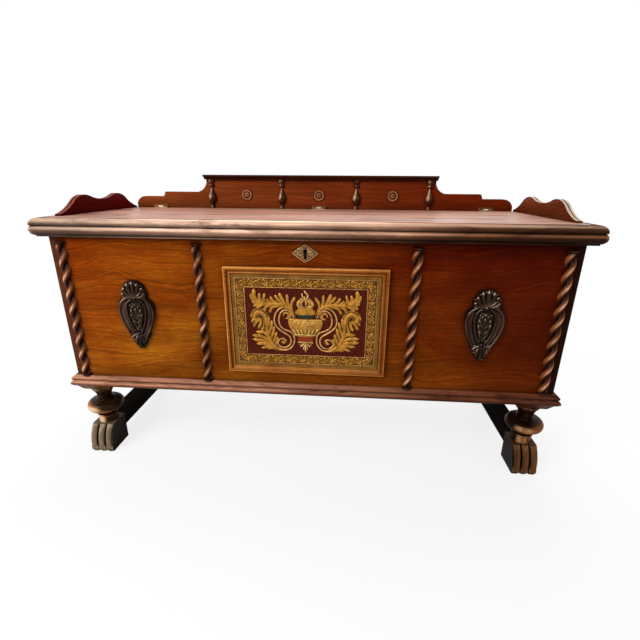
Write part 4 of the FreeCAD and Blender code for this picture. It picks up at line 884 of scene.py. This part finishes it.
class CHEST_OT_cartouches(bpy.types.Operator):
    """Scrolls, leaves and beads on the two cartouches"""
    bl_idname = "chest.cartouches"
    bl_label = "Cartouches"

    def execute(self, context):
        carving = context.scene.chest_carving
        bronze = bronzed("cartouche_rubbed", shade(carving.bronze, 0.7), tone(84, 62, 48), along=2, streaks=1.6,
                         metal=0.0, gloss=(0.16, 0.32), sheen=0.05, reach=0.007, glint=tone(190, 164, 144))
        halves = both_sides([
            (((-14, 43), (-24, 38), (-34, 27), (-38.5, 10), (-35, -12), (-27, -32), (-18, -48), (-10, -62)),
             (1.6, 2.4, 2.8, 2.4, 2.2, 2.2, 2.0, 1.4), False),
            (((-9, 38), (-17, 32), (-22, 17), (-20, -4), (-14, -24), (-5, -42)),
             (0.9, 1.3, 1.5, 1.5, 1.3, 0.9), False),
            finger((-1, -28), (-7, -20), (-9, -10), 2.8), finger((-1, -18), (-9, -8), (-13, 4), 3.2),
            finger((-1, -6), (-8, 4), (-12, 15), 3.0), ball((-6, 21), 2.8), ball((-11, 25), 2.0),
            finger((-2, 44), (-10, 60), (-12, 76), 5.0), finger((-4, 43), (-18, 54), (-22, 66), 4.8),
            finger((-6, 42), (-21, 46), (-27, 53), 4.0), ball((-16, 43), 3.0), ball((-24, 42), 2.4),
            ball((-6, 76), 2.2), ball((-17, 70), 2.2), ball((-26, 59), 2.0),
            finger((-2, -46), (-8, -58), (-9, -70), 4.0), finger((-4, -44), (-14, -50), (-19, -55), 3.6),
            ball((-14, -45), 2.8), ball((-14, -61), 2.2), ball((-6, -33), 1.8), ball((-5, -77), 1.8)])
        halves += [finger((0, 44), (0, 60), (0, 80), 5.0), ball((0, 41), 3.4), ball((0, 25), 3.4),
                   finger((0, -46), (0, -62), (0, -80), 4.2), finger((0, -2), (0, 8), (0, 18), 2.8),
                   ball((0, -32), 2.8), ball((0, -43), 3.0)]
        boss = both_sides([(((-25, 33), (-31, 8), (-26, -18), (-14, -46)), (4.5, 6.5, 5.5, 3.5), False)])
        boss += [(((0, 30), (0, 6), (0, -32)), (9.0, 17.0, 7.0), False)]
        for side in ("left", "right"):
            low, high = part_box(f"cartouche_{side}")
            middle = ((low[0] + high[0]) / 2, (low[2] + high[2]) / 2)
            item = strokes(f"cartouche_relief_{side}", halves, 0.8, low[1], middle, crown=CARTOUCHE_CROWN)
            fitted(item, bronze)
            item = strokes(f"cartouche_boss_{side}", boss, 0.2, low[1], middle)
            fitted(item, bronze)
        return {"FINISHED"}


def bow(start, stop, sag, count):
    """Points along an arc that leaves its chord by the given sag, to its right."""
    run = Vector(stop) - Vector(start)
    side = Vector((run.y, -run.x)).normalized()
    radius = run.length ** 2 / (8 * abs(sag)) + abs(sag) / 2
    centre = (Vector(start) + Vector(stop)) / 2 + side * (sag - math.copysign(radius, sag))
    first = Vector(start) - centre
    turn = (Vector(stop) - centre).angle_signed(first)
    return [centre + Matrix.Rotation(turn * index / count, 2) @ first for index in range(count + 1)]


# Outline of a foot before its leg's axis: at the neck, where it swells out most, and at the toe.
FOOT_NECK, FOOT_SWELL, FOOT_TOE = 0.026, 0.046, 0.042
FOOT_BACK = 0.025
# As shares of its height: where the swell lies, and how far the outline bows above and below it.
SWELL_HIGH = 0.26
BOW_ABOVE, BOW_BELOW = -0.075, 0.06
REED_GAP = 0.003
REED_SINK = 0.0002


class CHEST_OT_reeds(bpy.types.Operator):
    """Rounded reeds down the front of the feet"""
    bl_idname = "chest.reeds"
    bl_label = "Foot reeds"

    def execute(self, context):
        swell = context.scene.chest_reeds.swell
        finish = frame["nodes"]["foot_front_left"].data.materials[0]
        for end, way in (("front", -1.0), ("back", 1.0)):
            for side in ("left", "right"):
                low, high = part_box(f"foot_{end}_{side}")
                middle = (low[0] + high[0]) / 2
                axis = high[1] - FOOT_BACK if way < 0 else low[1] + FOOT_BACK
                tall = high[2] - low[2]
                widest = (FOOT_SWELL, tall * SWELL_HIGH)
                line = bow((FOOT_NECK, tall), widest, tall * BOW_ABOVE, 16)
                line += bow(widest, (FOOT_TOE, 0.0), tall * BOW_BELOW, 8)[1:]
                half = (high[0] - low[0] - 2 * REED_GAP) / 6
                for number in (-1, 0, 1):
                    bpy.ops.mesh.primitive_grid_add(x_subdivisions=10, y_subdivisions=len(line) - 1, size=1.0)
                    item = context.active_object
                    item.name = f"foot_reed_{end}_{side}_{number + 2}"
                    for vertex in item.data.vertices:
                        angle = vertex.co.x * math.pi
                        spot = line[round((vertex.co.y + 0.5) * (len(line) - 1))]
                        across = middle + number * (2 * half + REED_GAP) + half * math.sin(angle)
                        out = spot.x + swell * math.cos(angle) - REED_SINK
                        vertex.co = (across, axis + way * out, spot.y)
                    mended(REED_ANGLE, bpy.ops.mesh.region_to_loop, bpy.ops.mesh.edge_face_add)
                    fitted(item, finish)
        return {"FINISHED"}


class CHEST_OT_keyhole(bpy.types.Operator):
    """Raised rim, pins and engraved lines on the keyhole plate"""
    bl_idname = "chest.keyhole"
    bl_label = "Keyhole plate"

    def execute(self, context):
        low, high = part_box("escutcheon")
        middle = (0.0, (low[2] + high[2]) / 2)
        wide = (high[0] - low[0]) / 2 / MM
        tall = (high[2] - low[2]) / 2 / MM
        shape = ((1, 0), (0.42, 0.62), (0, 1), (-0.42, 0.62), (-1, 0), (-0.42, -0.62), (0, -1), (0.42, -0.62))
        lines = []
        for share, thick in ((0.95, 0.9), (0.72, 0.5)):
            lines.append((tuple((a * wide * share, b * tall * share) for a, b in shape), (thick,) * 8, True))
        for across in (-1, 1):
            lines.append(ball((across * wide * 0.82, 0), 1.3))
            for up in (-1, 1):
                for leaf, thick in ((((5, 2), (9, 4), (13, 4.5)), 1.3), (((8, 1), (13, 1.5), (18, 1.5)), 1.1),
                                    (((4, 6), (6, 8), (7, 11)), 1.1)):
                    lines.append(finger(*((across * a, up * b) for a, b in leaf), thick))
        for up in (-1, 1):
            lines.append(ball((0, up * tall * 0.8), 1.3))
        plate = metal("plate_brass", tone(110, 74, 44), tone(60, 36, 22), (0.4, 0.6))
        frame["nodes"]["escutcheon"].data.materials[0] = plate
        finish = metal("trim_brass", tone(206, 164, 112), tone(130, 90, 56), (0.3, 0.5))
        fitted(strokes("keyhole_trim", lines, 0.8, low[1], middle, 2, 4), finish)
        return {"FINISHED"}


WHITE = (1.0, 1.0, 1.0, 1.0)
SOFT_LIGHT = 0.36
# Name, place, aim, size and power of each lamp.
LAMPS = (
    ("key", (-1.4, -1.5, 1.6), (-0.2, 0.0, 0.4), 1.2, 42.0),
    ("fill", (2.2, -2.0, 1.2), (0.2, 0.0, 0.35), 1.8, 7.0),
    ("top", (0.3, 1.2, 2.6), (0.0, 0.1, 0.5), 1.8, 46.0),
    ("window", (0.0, 2.6, 1.3), (0.0, 0.0, 0.6), 2.2, 28.0),
)


class CHEST_OT_stage(bpy.types.Operator):
    """Pale floor, soft lamps and the camera"""
    bl_idname = "chest.stage"
    bl_label = "Stage"

    def execute(self, context):
        look = context.scene.chest_stage
        bpy.ops.mesh.primitive_plane_add(size=30.0)
        floor = context.active_object
        floor.name = "floor"
        pale = Finish("pale_floor", look.floor_colour)
        floor.data.materials.append(pale.set(Base_Color=(*look.floor_colour, 1.0), Roughness=0.9))
        away = pale.add("ShaderNodeVectorMath", {0: pale.place}, operation="LENGTH").outputs["Value"]
        seen = pale.add("ShaderNodeLightPath").outputs["Is Camera Ray"]
        pale.end("Material Output", pale.times(seen, pale.span(away, 0.5, 1.5, 0.8, 1.0)), pale.shader,
                 pale.add("ShaderNodeEmission"))

        world = bpy.data.worlds.new("studio")
        context.scene.world = world
        world.use_nodes = True
        sky = Nodes(world.node_tree)
        soft = sky.tree.nodes["Background"]
        sky.put(soft.inputs[0], WHITE)
        sky.put(soft.inputs[1], SOFT_LIGHT)
        ray = sky.add("ShaderNodeLightPath").outputs
        clear = sky.sum("MAXIMUM", ray["Is Glossy Ray"], ray["Is Transmission Ray"])
        sky.end("World Output", sky.sum("MAXIMUM", ray["Is Camera Ray"], clear), soft,
                sky.add("ShaderNodeBackground", {0: WHITE, 1: 1.0}))

        for name, place, aim, size, power in LAMPS:
            bpy.ops.object.light_add(type="AREA", location=place)
            lamp = context.active_object
            lamp.name = name
            lamp.data.size = size
            lamp.data.energy = power
            lamp.rotation_euler = (Vector(aim) - Vector(place)).to_track_quat("-Z", "Y").to_euler()

        turn = (Matrix.Rotation(-look.yaw, 3, "Z") @ Matrix.Rotation(math.pi / 2 - look.pitch, 3, "X")
                @ Matrix.Rotation(look.roll, 3, "Z"))
        bpy.ops.object.camera_add(location=look.camera_place, rotation=turn.to_euler())
        camera = context.active_object
        camera.data.sensor_fit = "HORIZONTAL"
        camera.data.sensor_width = 36.0
        camera.data.lens = look.lens
        camera.data.clip_start = 0.02
        context.scene.camera = camera
        context.scene.view_settings.view_transform = "Standard"
        return {"FINISHED"}


class CHEST_PT_sidebar(bpy.types.Panel):
    """Steps that dress the chest"""
    bl_idname = "CHEST_PT_sidebar"
    bl_label = "Cedar chest"
    bl_space_type = "VIEW_3D"
    bl_region_type = "UI"
    bl_category = "Chest"

    def draw(self, context):
        for step in STEPS:
            self.layout.operator(step.bl_idname)
        for group in GROUPS:
            settings = getattr(context.scene, group)
            for name in settings.__annotations__:
                self.layout.prop(settings, name)


STEPS = (CHEST_OT_finishes, CHEST_OT_carving, CHEST_OT_cartouches, CHEST_OT_reeds, CHEST_OT_keyhole, CHEST_OT_stage)
GROUPS = {"chest_wood": ChestWood, "chest_carving": ChestCarving, "chest_reeds": ChestReeds,
          "chest_stage": ChestStage}
CLASSES = tuple(GROUPS.values()) + STEPS + (CHEST_PT_sidebar,)


def register():
    for item in CLASSES:
        bpy.utils.register_class(item)
    for name, group in GROUPS.items():
        setattr(bpy.types.Scene, name, bpy.props.PointerProperty(type=group))


def unregister():
    for name in GROUPS:
        delattr(bpy.types.Scene, name)
    for item in reversed(CLASSES):
        bpy.utils.unregister_class(item)


def main():
    register()
    bpy.ops.chest.finishes()
    bpy.ops.chest.carving()
    bpy.ops.chest.cartouches()
    bpy.ops.chest.reeds()
    bpy.ops.chest.keyhole()
    bpy.ops.chest.stage()


if __name__ == "__main__":
    main()
